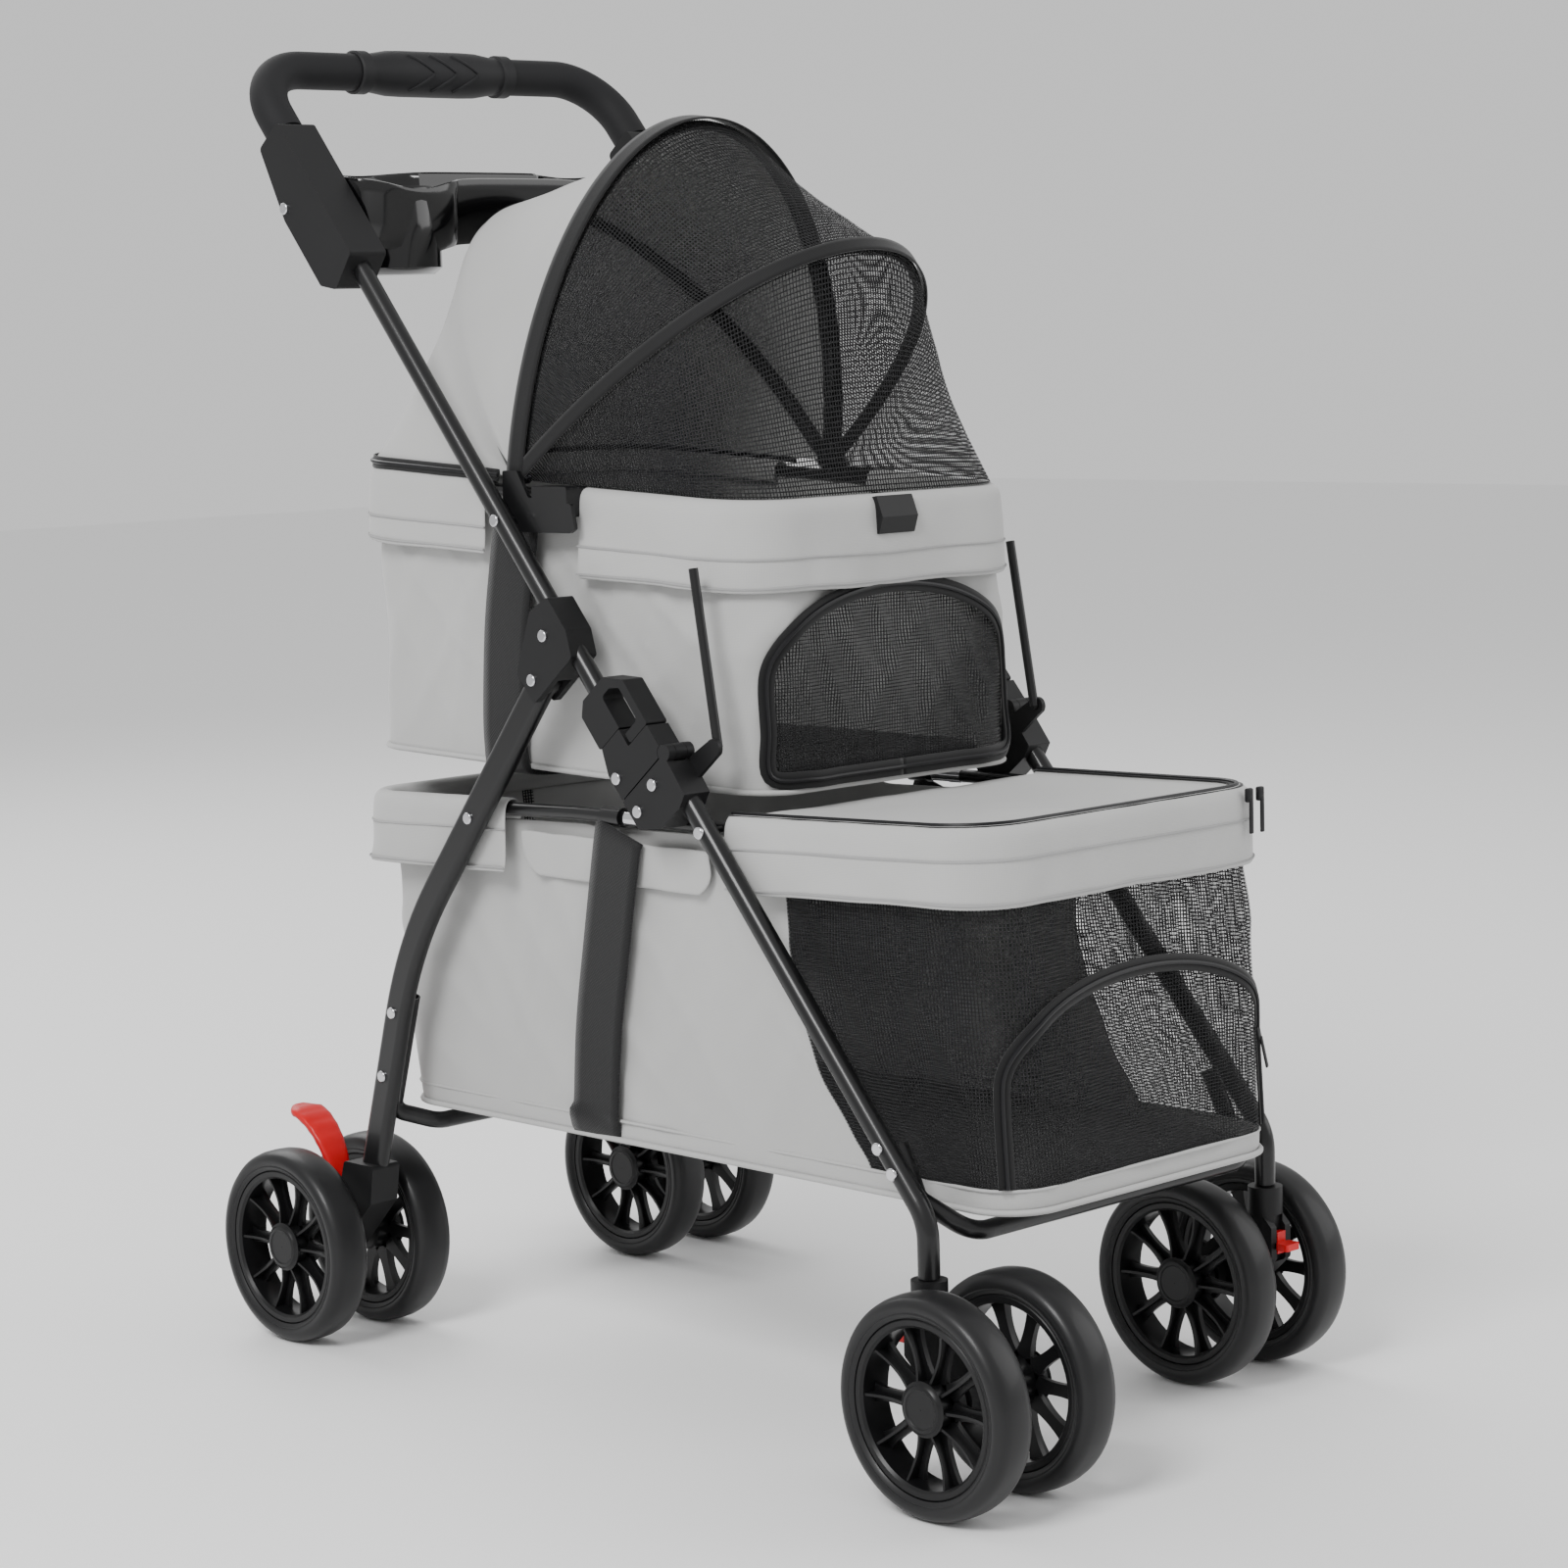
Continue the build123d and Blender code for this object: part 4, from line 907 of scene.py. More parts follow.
@dataclass
class LowerCabin:
    """The long lower cabin: cloth at the rear, net in front, a zipped lid and an arched front door."""

    finishes: Finishes
    floor_z: float = 184.5
    hem_z: float = 199.0
    flap_drop: float = 46.0
    door_half: float = 133.0
    door_top: float = 333.0
    strap_width: float = 48.0

    rim = Outline(158.0, 147.0, -100.0, -326.0, 311.0, 42.0, 46.0)
    foot = Outline(139.0, 139.0, -100.0, -345.0, 296.0, 36.0, 38.0)
    wall_top = Outline(151.0, 144.5, -100.0, -326.0, 308.0, 38.0, 40.0)

    def rim_z(self, y: float) -> float:
        """Height of the rim tube at y."""
        return 418.0 + (311.0 - y) * 0.0251 if y < 54 else 418.0 + (311.0 - y) * 0.0319

    def boundary_y(self, z: float) -> float:
        """Where the side changes from cloth to net."""
        share = min(max((384.0 - z) / 182.0, 0.0), 1.0)
        return -145.0 - 6.0 * share - 64.0 * share ** 2.6

    def tub(self) -> Tub:
        """The cabin's walls."""
        top, hem = self.rim_z(0) - 8.0, self.hem_z
        hem_share = (top - hem) / (top - self.floor_z)
        steps = 26
        rows = tuple(hem_share * s / steps for s in range(steps + 1)) + ((hem_share + 1) / 2, 1.0)
        return Tub("lower_cabin", self.wall_top, self.foot, lambda y: self.rim_z(y) - 8.0,
                   lambda y: self.floor_z,
                   self.boundary_y, (10, 7, 52, 26, 8, 16), rows, Softness.HUNG, 1.3)

    def front_point(self, x: float, z: float, proud: float) -> Vector:
        """A point just in front of the front wall."""
        top = self.rim_z(-326) - 8.0
        shape = self.wall_top.mixed(self.foot, (top - z) / (top - self.floor_z))
        radius = shape.front_corner
        over = max(abs(x) - (shape.front_half - radius), 0.0)
        back = radius - math.sqrt(max(radius * radius - over * over, 0.0))
        return Vector((x, shape.front_y + back - proud, z))

    def side_point(self, y: float, z: float, proud: float) -> Vector:
        """A point just outside the right wall."""
        top = self.rim_z(y) - 8.0
        shape = self.wall_top.mixed(self.foot, (top - z) / (top - self.floor_z))
        return Vector((-shape.side_x(y) - proud, y, z))

    def door_line(self, proud: float) -> Row:
        """The arch of the front door."""
        low, shoulder = self.hem_z + 2.0, 262.0
        points = [(-self.door_half, low), (-self.door_half, shoulder)]
        rise = self.door_top - shoulder
        for step in range(1, 16):
            a = math.pi * step / 16
            points.append((-self.door_half * math.cos(a), shoulder + rise * math.sin(a) ** 0.8))
        points += [(self.door_half, shoulder), (self.door_half, low)]
        return [self.front_point(x, z, proud) for x, z in points]

    def build(self) -> None:
        """Makes every soft piece of the lower cabin."""
        self.walls()
        self.flaps()
        self.lid()
        self.doors()
        self.straps()
        self.floor_pad()

    def walls(self) -> None:
        """Cloth and net walls as one sewn shell."""
        tub = self.tub()
        bm = tub.mesh()
        cloth_columns = sum(tub.counts[:3])
        total = 2 * sum(tub.counts)
        hem_row = 26
        for face in bm.faces:
            row, column = face_place(bm, face)
            right = min(column, total - column)
            if right > cloth_columns and row < hem_row:
                face.material_index = 1
        piece = finish_piece(bm, "lower_cabin_walls", [self.finishes.cloth, self.finishes.net],
                             "front_frame", 70.0)
        thicken(piece, 0.9, 1)
        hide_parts("lower_bag")
        LOWER_FOLD.apply(piece)
        for name, share, radius in (("foot", 1.0, 2.2), ("hem", tub.rows[hem_row], 1.2)):
            shape = tub.top.mixed(tub.bottom, share)
            line = shape.loop(self.boundary_y(self.hem_z), tub.counts)
            height = self.floor_z if name == "foot" else self.hem_z
            path = [Vector((p.x, p.y, height)) + outward_of(line, i, True) * 0.8 for i, p in enumerate(line)]
            seam = finish_piece(tube(path, radius, 8, closed=True), f"lower_cabin_{name}_piping",
                                [self.finishes.cloth],
                                "front_frame", 80.0)
            LOWER_FOLD.apply(seam)

    def flaps(self) -> None:
        """The flaps that wrap the rim, and the long tab below each knee."""
        for name, y, rear, seed in (("rear", 130.0, True, 2.1), ("front", -104.0, False, 4.4)):
            path = self.rim.part(y, rear, 150)
            rows = skirt_rows(path, self.rim_z, over_rim(self.flap_drop, 1.5), 2.6, seed)
            piece = finish_piece(loft(rows, closed=False), f"lower_{name}_flap", [self.finishes.cloth],
                                 "front_frame", 80.0)
            thicken(piece, 1.8, 1)
            LOWER_FOLD.apply(piece)
            for mark, row in (("hem", len(rows) - 1), ("roll", 9)):
                lift = Vector((0, 0, 3.5 if mark == "hem" else 0))
                line = [p + outward_of(path, i, False) * 1.2 + lift for i, p in enumerate(rows[row])]
                stitched(line, f"lower_{name}_flap_{mark}_stitch", self.finishes, LOWER_FOLD)
        self.knee_tabs()

    def knee_tabs(self) -> None:
        """The long rounded tab below each knee."""
        rows = []
        ends = (122.0, -80.0)
        for step in range(8):
            share = step / 7
            tuck = 14.0 * max(share - 0.45, 0.0) ** 2 / 0.3
            row = []
            for column in range(41):
                y = ends[0] - tuck + (ends[1] - ends[0] + 2 * tuck) * column / 40
                z = 409.0 - 33.0 * share + 1.2 * soft_noise(Vector((y, share * 30, 0)), 30.0, 5.0)
                row.append(self.side_point(y, z, 8.0 - 2.2 * share + 1.2 * soft_noise(Vector((y, z, 0)),
                                                                                      26.0, 8.0)))
            rows.append(row)
        bm = mirrored(loft(rows, closed=False))
        piece = finish_piece(bm, "lower_knee_tabs", [self.finishes.cloth], "front_frame", 80.0)
        thicken(piece, 2.0, 1)
        LOWER_FOLD.apply(piece)

    def lid(self) -> None:
        """The zipped lid over the front of the cabin."""
        rows = []
        steps = 34
        for number in range(steps + 1):
            y = -106.0 - 212.0 * number / steps
            inner = self.rim.side_x(y) - 6.0
            if y < -290.0:
                inner -= 40.0 * ((-290.0 - y) / 28.0) ** 2
            row = []
            for column in range(37):
                x = inner * (column / 18 - 1)
                edge = 1 - (abs(x) / inner) ** 4
                ends = math.sin(math.pi * min(number / steps, 1.0)) ** 0.5 if 0 < number < steps else 0.0
                sag = -3.5 * edge * ends + 1.8 * soft_noise(Vector((x, y, 0)), 48.0, 6.0) * edge
                row.append(Vector((x, y, self.rim_z(y) + 5.2 + sag)))
            rows.append(row)
        piece = finish_piece(loft(rows, closed=False), "lower_lid", [self.finishes.cloth], "front_frame",
                             80.0)
        thicken(piece, 1.2, 1)
        LOWER_FOLD.apply(piece)
        line = [Vector((p.x, p.y, self.rim_z(p.y) + 7.6)) - outward_of(self.rim.part(-104.0, False, 120), i,
                                                                       False) * 1.0
                for i, p in enumerate(self.rim.part(-104.0, False, 120))]
        zipped(line, lambda p: Vector((0, 0, 1)), "lower_lid_zip", self.finishes, LOWER_FOLD, 9.0)
        for number, x in enumerate((118.0, 130.0)):
            zip_pull(Vector((x, -334.5, self.rim_z(-326) + 3.0)), Vector((0, 0, -1)), Vector((0, -1, 0)),
                     f"lower_lid_pull_{number + 1}", self.finishes, LOWER_FOLD)

    def doors(self) -> None:
        """The arched zip of the front door."""
        line = smooth_line(self.door_line(5.5), 120)
        zipped(line, lambda p: Vector((p.x * 0.004, -1, 0)), "lower_door_zip", self.finishes, LOWER_FOLD,
               12.0)
        zip_pull(self.front_point(self.door_half - 1.0, 266.0, 3.0), Vector((0.3, 0, -1)),
                 Vector((0.4, -1, 0)),
                 "lower_door_pull", self.finishes, LOWER_FOLD)

    def straps(self) -> None:
        """Webbing from the knees down and under the cabin."""
        right = [Vector((-163.5, 6.0, 417.0)), Vector((-164.0, 10.0, 405.0)),
                 self.side_point(33.0, 335.0, 9.0),
                 self.side_point(52.0, 268.0, 6.5), self.side_point(63.0, 212.0, 4.5),
                 self.side_point(67.0, 192.0, 3.4),
                 Vector((-128.0, 70.0, self.floor_z - 4.2)), Vector((-60.0, 73.0, self.floor_z - 4.6))]
        path = smooth_line(right + [Vector((-p.x, p.y, p.z)) for p in right[::-1]], 170)
        middle = Vector((0.0, 40.0, 330.0))
        outward = lambda p: Vector((p.x, 0, (p.z - middle.z) * 0.9 if p.z < 200 else 0.0))
        piece = finish_piece(band(path, outward, self.strap_width, 6), "lower_webbing",
                             [self.finishes.webbing], "front_frame", 80.0)
        thicken(piece, 2.2)
        LOWER_FOLD.apply(piece)

    def floor_pad(self) -> None:
        """The stiffened pad on the cabin's floor."""
        make_pad("lower_floor_pad", self.foot, self.floor_z + 4.2, 14.0, self.finishes, LOWER_FOLD,
                 "lower_floor")


def make_pad(name: str, outline: Outline, low: float, margin: float, finishes: Finishes, fold: Fold,
             node: str) -> None:
    """Makes a quilted floor pad.

    Args:
        name: the piece's name.
        outline: the floor's outline.
        low: its underside, mm.
        margin: gap to the outline, mm.
        finishes: the finishes.
        fold: what it moves with.
        node: the CAD board it stands for.
    """
    shape = Outline(outline.rear_half - margin, outline.front_half - margin, outline.taper_y,
                    outline.front_y + margin,
                    outline.rear_y - margin, 26.0, 26.0)
    counts = (10, 6, 20, 20, 6, 10)
    flat = shape.loop(0.0, counts)
    centre = sum(flat, Vector()) / len(flat)
    sections = [(0.3, 0.2), (0.8, 0.2), (0.985, 0.4), (1.0, 2.2), (1.0, 4.2), (0.985, 6.0), (0.93, 7.6),
                (0.8, 8.2),
                (0.6, 8.4), (0.4, 8.6), (0.2, 8.6)]
    rows = []
    for scale, height in sections:
        rows.append([Vector((centre.x + (p.x - centre.x) * scale, centre.y + (p.y - centre.y) * scale,
                             low + height
                             + (0.9 * soft_noise(Vector((p.x * scale, p.y * scale, 0)), 40.0,
                                                 3.0) if height > 7 else 0.0)))
                     for p in flat])
    bm = loft(rows, closed=True)
    bmesh.ops.holes_fill(bm, edges=[e for e in bm.edges if e.is_boundary], sides=0)
    bmesh.ops.recalc_face_normals(bm, faces=bm.faces)
    piece = finish_piece(bm, name, [finishes.pad], fold.body, 60.0)
    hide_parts(node)
    fold.apply(piece)


@dataclass
class UpperCabin:
    """The cabin that hangs from the upper ring, with a D-shaped front door."""

    finishes: Finishes
    flap_drop: float = 56.0
    door_half: float = 121.0
    door_low: float = 455.0
    door_top: float = 586.0
    strap_width: float = 48.0

    ring = Outline(147.0, 136.0, 60.0, -104.0, 312.0, 42.0, 48.0)
    wall_top = Outline(146.5, 135.0, 60.0, -103.0, 311.0, 42.0, 44.0)
    foot = Outline(140.0, 131.0, 60.0, -110.0, 318.0, 34.0, 34.0)

    def rim_z(self, y: float) -> float:
        """Height of the ring at y."""
        return 655.0 + 0.06 * (y - 110.0)

    def floor_z(self, y: float) -> float:
        """Height of the outside of the floor."""
        return 447.5 + 0.028 * (y + 104.0)

    def build(self) -> None:
        """Makes every soft piece of the upper cabin."""
        self.walls()
        self.flaps()
        self.door()
        self.straps()
        make_pad("upper_floor_pad", self.foot, 454.5, 16.0, self.finishes, UPPER_FOLD, "upper_floor")

    def in_door(self, place: Vector) -> bool:
        """Whether a point of the front wall is inside the door."""
        if place.y > -60 or not self.door_low < place.z < self.door_top:
            return False
        shoulder = 520.0
        if place.z < shoulder:
            return abs(place.x) < self.door_half
        rise = (place.z - shoulder) / (self.door_top - shoulder)
        return abs(place.x) < self.door_half * math.sqrt(max(1 - rise ** 2.2, 0.0))

    def walls(self) -> None:
        """The sewn shell, with net in the door."""
        rows = tuple(s / 46 for s in range(47))
        tub = Tub("upper_cabin", self.wall_top, self.foot, lambda y: self.rim_z(y) - 3.0, self.floor_z,
                  lambda z: 60.0,
                  (12, 7, 34, 20, 9, 26), rows, Softness.HUNG, 7.7)
        bm = tub.mesh()
        for face in bm.faces:
            if self.in_door(face.calc_center_median()):
                face.material_index = 1
        piece = finish_piece(bm, "upper_cabin_walls", [self.finishes.cloth, self.finishes.net], "carriage",
                             70.0)
        thicken(piece, 0.9, 1)
        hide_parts("upper_bag")
        UPPER_FOLD.apply(piece)
        line = self.foot.loop(60.0, tub.counts)
        path = [Vector((p.x, p.y, self.floor_z(p.y))) + outward_of(line, i, True) * 0.8 for i,
                p in enumerate(line)]
        seam = finish_piece(tube(path, 2.2, 8, closed=True), "upper_cabin_foot_piping",
                            [self.finishes.cloth], "carriage", 80.0)
        UPPER_FOLD.apply(seam)

    def flaps(self) -> None:
        """The flaps that wrap the ring."""
        for name, y, rear, drop, seed in (("rear", 152.0, True, 48.0, 3.2),
                                          ("front", 50.0, False, self.flap_drop, 6.1)):
            path = self.ring.part(y, rear, 140)
            rows = skirt_rows(path, self.rim_z, over_rim(drop, 2.5), 2.4, seed)
            piece = finish_piece(loft(rows, closed=False), f"upper_{name}_flap", [self.finishes.cloth],
                                 "carriage", 80.0)
            thicken(piece, 1.8, 1)
            UPPER_FOLD.apply(piece)
            for mark, row, lift in (("hem", len(rows) - 1, 3.5), ("middle", 11, 0.0)):
                line = [p + outward_of(path, i, False) * 1.2 + Vector((0, 0, lift)) for i,
                        p in enumerate(rows[row])]
                stitched(line, f"upper_{name}_flap_{mark}_stitch", self.finishes, UPPER_FOLD)

    def front_point(self, x: float, z: float, proud: float) -> Vector:
        """A point just in front of the front wall."""
        top = self.rim_z(-104) - 3.0
        shape = self.wall_top.mixed(self.foot, (top - z) / (top - self.floor_z(-104)))
        radius = shape.front_corner
        over = max(abs(x) - (shape.front_half - radius), 0.0)
        back = radius - math.sqrt(max(radius * radius - over * over, 0.0))
        return Vector((x, shape.front_y + back - proud, z))

    def door(self) -> None:
        """The zip round the door, and the binding at its foot."""
        shoulder, half = 520.0, self.door_half
        points = [(0.0, self.door_low)] + [(-half * s / 4, self.door_low) for s in range(1, 4)]
        points += [(-half, self.door_low + 4), (-half, 490.0), (-half, shoulder)]
        rise = self.door_top - shoulder
        for step in range(1, 16):
            a = math.pi * step / 16
            points.append((-half * math.cos(a), shoulder + rise * math.sin(a) ** 0.9))
        points += [(half, shoulder), (half, 490.0), (half, self.door_low + 4)]
        points += [(half * s / 4, self.door_low) for s in (3, 2, 1, 0)]
        line = smooth_line([self.front_point(x, z, 6.5) for x, z in points], 170)
        zipped(line, lambda p: Vector((p.x * 0.004, -1, 0)), "upper_door_zip", self.finishes, UPPER_FOLD,
               12.0)

    def straps(self) -> None:
        """Webbing from the ring brackets down and under the cabin."""
        right = [Vector((-156.0, 116.0, 648.0)), Vector((-157.5, 118.0, 622.0)),
                 Vector((-154.0, 134.0, 560.0)),
                 Vector((-149.5, 145.0, 500.0)), Vector((-146.5, 149.0, 466.0)),
                 Vector((-142.0, 150.0, 451.0)),
                 Vector((-124.0, 150.0, 447.0)), Vector((-60.0, 150.0, 446.5))]
        path = smooth_line(right + [Vector((-p.x, p.y, p.z)) for p in right[::-1]], 150)
        piece = finish_piece(band(path, lambda p: Vector((p.x, 0, -220.0 if p.z < 455 else 0.0)),
                                  self.strap_width, 6),
                             "upper_webbing", [self.finishes.webbing], "carriage", 80.0)
        thicken(piece, 2.2)
        UPPER_FOLD.apply(piece)


@dataclass(frozen=True)
class Arch:
    """An arch over the canopy's pivots: half an ellipse at an angle back from upright."""

    lean: float
    half: float
    height: float

    def points(self, count: int) -> Row:
        """Points at even distances along the arch, from right to left."""
        up = Vector((0, math.sin(math.radians(self.lean)), math.cos(math.radians(self.lean))))
        dense = [CANOPY_PIVOT + Vector((-self.half * math.cos(a), 0, 0)) + up * self.height * math.sin(a)
                 for a in (math.pi * step / 180 for step in range(181))]
        return resample(dense, count)


@dataclass
class Canopy:
    """The hood: cloth behind the middle bow, net in front of it, on three wire bows."""

    finishes: Finishes
    columns: int = 81
    half: float = 160.0
    height: float = 259.0

    def rim_line(self, rear: bool, lift: float, inset: float) -> Row:
        """The ring's outline from the right pivot to the left one, where the hood is sewn on."""
        ring = Outline(147.0 - inset, 136.0 - inset, 60.0, -104.0 + inset, 312.0 - inset, 42.0, 48.0)
        flat = ring.part(110.0, rear, self.columns)
        line = [Vector((p.x, p.y, 655.0 + 0.06 * (p.y - 110.0) + lift)) for p in flat]
        line[0], line[-1] = line[0].lerp(CANOPY_PIVOT + Vector((-self.half, 0, 0)), 0.8), line[-1].lerp(
            CANOPY_PIVOT + Vector((self.half, 0, 0)), 0.8)
        return line

    def gores(self, arches: Sequence[Row], per_gore: int, sag: float, seed: float) -> list[Row]:
        """Rows of cloth stretched between arches.

        Args:
            arches: the lines it is sewn to.
            per_gore: rows in each gore.
            sag: how far it falls in between them, mm.
            seed: moves the wrinkles.
        Returns:
            The rows.
        """
        hub = CANOPY_PIVOT + Vector((0, 0, -10))
        rows: list[Row] = []
        for number, (first, second) in enumerate(zip(arches, arches[1:])):
            for step in range(per_gore + (number == len(arches) - 2)):
                share = step / per_gore
                row = []
                for index in range(self.columns):
                    place = first[index].lerp(second[index], share)
                    level = math.sin(math.pi * index / (self.columns - 1)) ** 0.7
                    fall = 4 * share * (1 - share) * sag * level
                    pull = (place - Vector((place.x * 0.2, hub.y, hub.z))).normalized()
                    radial = soft_noise(Vector((index * 2.2, step * 9.0 + number * 60, seed)), 21.0, seed)
                    wrinkle = (1.6 * soft_noise(place, 52.0,
                                                seed) + 0.9 * radial) * min(4 * share * (1 - share) + 0.15,
                                                                            1.0)
                    row.append(place - pull * (fall - wrinkle))
                rows.append(row)
        return rows

    def build(self) -> None:
        """Makes the hood, its bindings and the bows' sleeves."""
        main = Arch(-8.0, self.half, self.height).points(self.columns)
        rear = Arch(38.0, self.half, self.height).points(self.columns)
        front = Arch(-52.0, self.half, self.height).points(self.columns)
        behind = self.rim_line(True, 11.0, -3.0)
        ahead = self.rim_line(False, 9.0, -1.0)
        cloth = finish_piece(loft(self.gores([behind, rear, main], 16, 7.0, 4.0), False), "canopy_cloth",
                             [self.finishes.cloth], "carriage", 80.0)
        net = finish_piece(loft(self.gores([main, front, ahead], 16, 6.0, 9.0), False), "canopy_net",
                           [self.finishes.net], "carriage", 80.0)
        thicken(cloth, 1.0, 1)
        thicken(net, 0.5)
        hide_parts("canopy")
        for piece in (cloth, net):
            UPPER_FOLD.apply(piece)
        self.bindings()

    def bindings(self) -> None:
        """Tapes over the bows, sleeves round the bows and the rear zip."""
        radial = lambda p: (p - CANOPY_PIVOT) + Vector((0, 0, 1.0))
        for name, lean, width, proud in (("main", -8.0, 17.0, 2.2), ("front", -52.0, 11.0, 2.0),
                                         ("rear", 38.0, 11.0, -3.0)):
            line = Arch(lean, self.half + proud, self.height + proud).points(110)
            piece = finish_piece(band(line, radial, width), f"canopy_{name}_tape", [self.finishes.binding],
                                 f"bow_{name}", 80.0)
            thicken(piece, 1.4)
            sleeve = finish_piece(tube(Arch(lean, 154.7 + 3.7 * {"rear": -1, "main": 0, "front": 1}[name],
                                            255.0).points(90)[2:-2],
                                       3.4, 8), f"canopy_{name}_sleeve", [self.finishes.binding],
                                       f"bow_{name}", 80.0)
        ring = Outline(151.5, 140.0, 60.0, -108.0, 316.0, 44.0, 48.0)
        flat = ring.part(140.0, True, 120)
        line = [Vector((p.x, p.y, 655.0 + 0.06 * (p.y - 110.0) + 11.0)) for p in flat]
        zipped(line, lambda p: Vector((p.x, p.y - 110.0, 40.0)), "canopy_rear_zip", self.finishes,
               UPPER_FOLD, 9.0)


# ------------------------------------------------------------------------------------ wheels
@dataclass
class Wheels:
    """Eight identical wheels."""

    finishes: Finishes
    spokes: int = 10
    pair_offset: float = 40.5
    trail: float = 41.3

    tyre_profile = ((-13.6, 59.9), (-15.0, 61.4), (-15.7, 62.8), (-15.2, 63.8), (-16.0, 65.2), (-15.9, 68.2),
                    (-14.6, 71.3),
                    (-11.6, 73.6), (-7.0, 74.7), (0.0, 75.0), (7.0, 74.7), (11.6, 73.6), (14.6, 71.3),
                    (15.9, 68.2),
                    (16.0, 65.2), (15.2, 63.8), (15.7, 62.8), (15.0, 61.4), (13.6, 59.9))
    rim_profile = ((-12.6, 60.0), (-13.6, 58.6), (-13.4, 55.2), (-11.6, 53.4), (-6.0, 52.6), (6.0, 52.6),
                   (11.6, 53.4),
                   (13.4, 55.2), (13.6, 58.6), (12.6, 60.0))
    hub_profile = ((-13.8, 4.2), (-13.8, 15.4), (-12.6, 16.8), (9.4, 17.4), (10.6, 18.6), (11.4, 18.6),
                   (12.0, 17.0),
                   (13.4, 15.6), (13.9, 13.4), (13.2, 12.4), (13.2, 0.3), (10.8, 0.3), (10.8, 4.2))

    def places(self) -> dict[str, tuple[Vector, int]]:
        """Each wheel's name, middle and outward side."""
        found = {}
        for end in ("front", "rear"):
            for side, sign in SIDES.items():
                y = REAR_AXLE_Y if end == "rear" else CASTER_Y + sign * self.trail
                for place, outward in (("outer", sign), ("inner", -sign)):
                    x = sign * TRACK + outward * self.pair_offset
                    found[f"{end}_{side}_{place}"] = (Vector((x, y, WHEEL_Z)), outward)
        return found

    def add_spoke(self, bm: bmesh.types.BMesh, outward: int, turn: Matrix) -> None:
        """Adds a spoke: a web that widens at both ends, with a thin rib on its outer side.

        Args:
            bm: the wheel's mesh.
            outward: the side the rib is on.
            turn: where the spoke stands.
        """
        inner, outer, steps = 15.5, 54.0, 10
        for rib in (False, True):
            rings = []
            for step in range(steps + 1):
                radius = inner + (outer - inner) * step / steps
                swell = abs(radius - 36.0) / 18.0
                half = 0.95 if rib else 4.3 + 2.6 * swell ** 2.4
                low, high = (1.0, 10.6 - 3.8 * math.sin(math.pi * step / steps)) if rib else (-2.2, 1.6)
                corners = [(low, -half), (high, -half), (high, half), (low, half)]
                rings.append([bm.verts.new(turn @ Vector((x * outward, y, radius))) for x, y in corners])
            for before, after in zip(rings, rings[1:]):
                for side in range(4):
                    bm.faces.new((before[side], before[(side + 1) % 4], after[(side + 1) % 4], after[side]))
            bm.faces.new(rings[0])
            bm.faces.new(rings[-1][::-1])

    def rim(self, outward: int) -> bmesh.types.BMesh:
        """Rim, hub and spokes round the origin."""
        bm = bmesh.new()
        for profile in (self.rim_profile, self.hub_profile):
            part = spun([(x * outward, r) for x, r in profile], Vector())
            absorb(bm, part)
        for number in range(self.spokes):
            turn = Matrix.Rotation(2 * math.pi * (number + 0.5) / self.spokes, 4, "X")
            self.add_spoke(bm, outward, turn)
        bmesh.ops.recalc_face_normals(bm, faces=bm.faces)
        return bm

    def build(self) -> None:
        """Makes every tyre and rim."""
        for name, (centre, outward) in self.places().items():
            end, side, place = name.split("_")
            body = f"wheel_{name}"
            tyre = finish_piece(spun(self.tyre_profile, centre, 96), f"tyre_shape_{name}",
                                [self.finishes.tyre], body, 35.0)
            bm = self.rim(outward)
            bmesh.ops.translate(bm, vec=centre, verts=bm.verts)
            rim = finish_piece(bm, f"rim_shape_{name}", [self.finishes.rim], body, 32.0)
            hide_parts(f"tyre_{name}")
            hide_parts(f"rim_{name}")


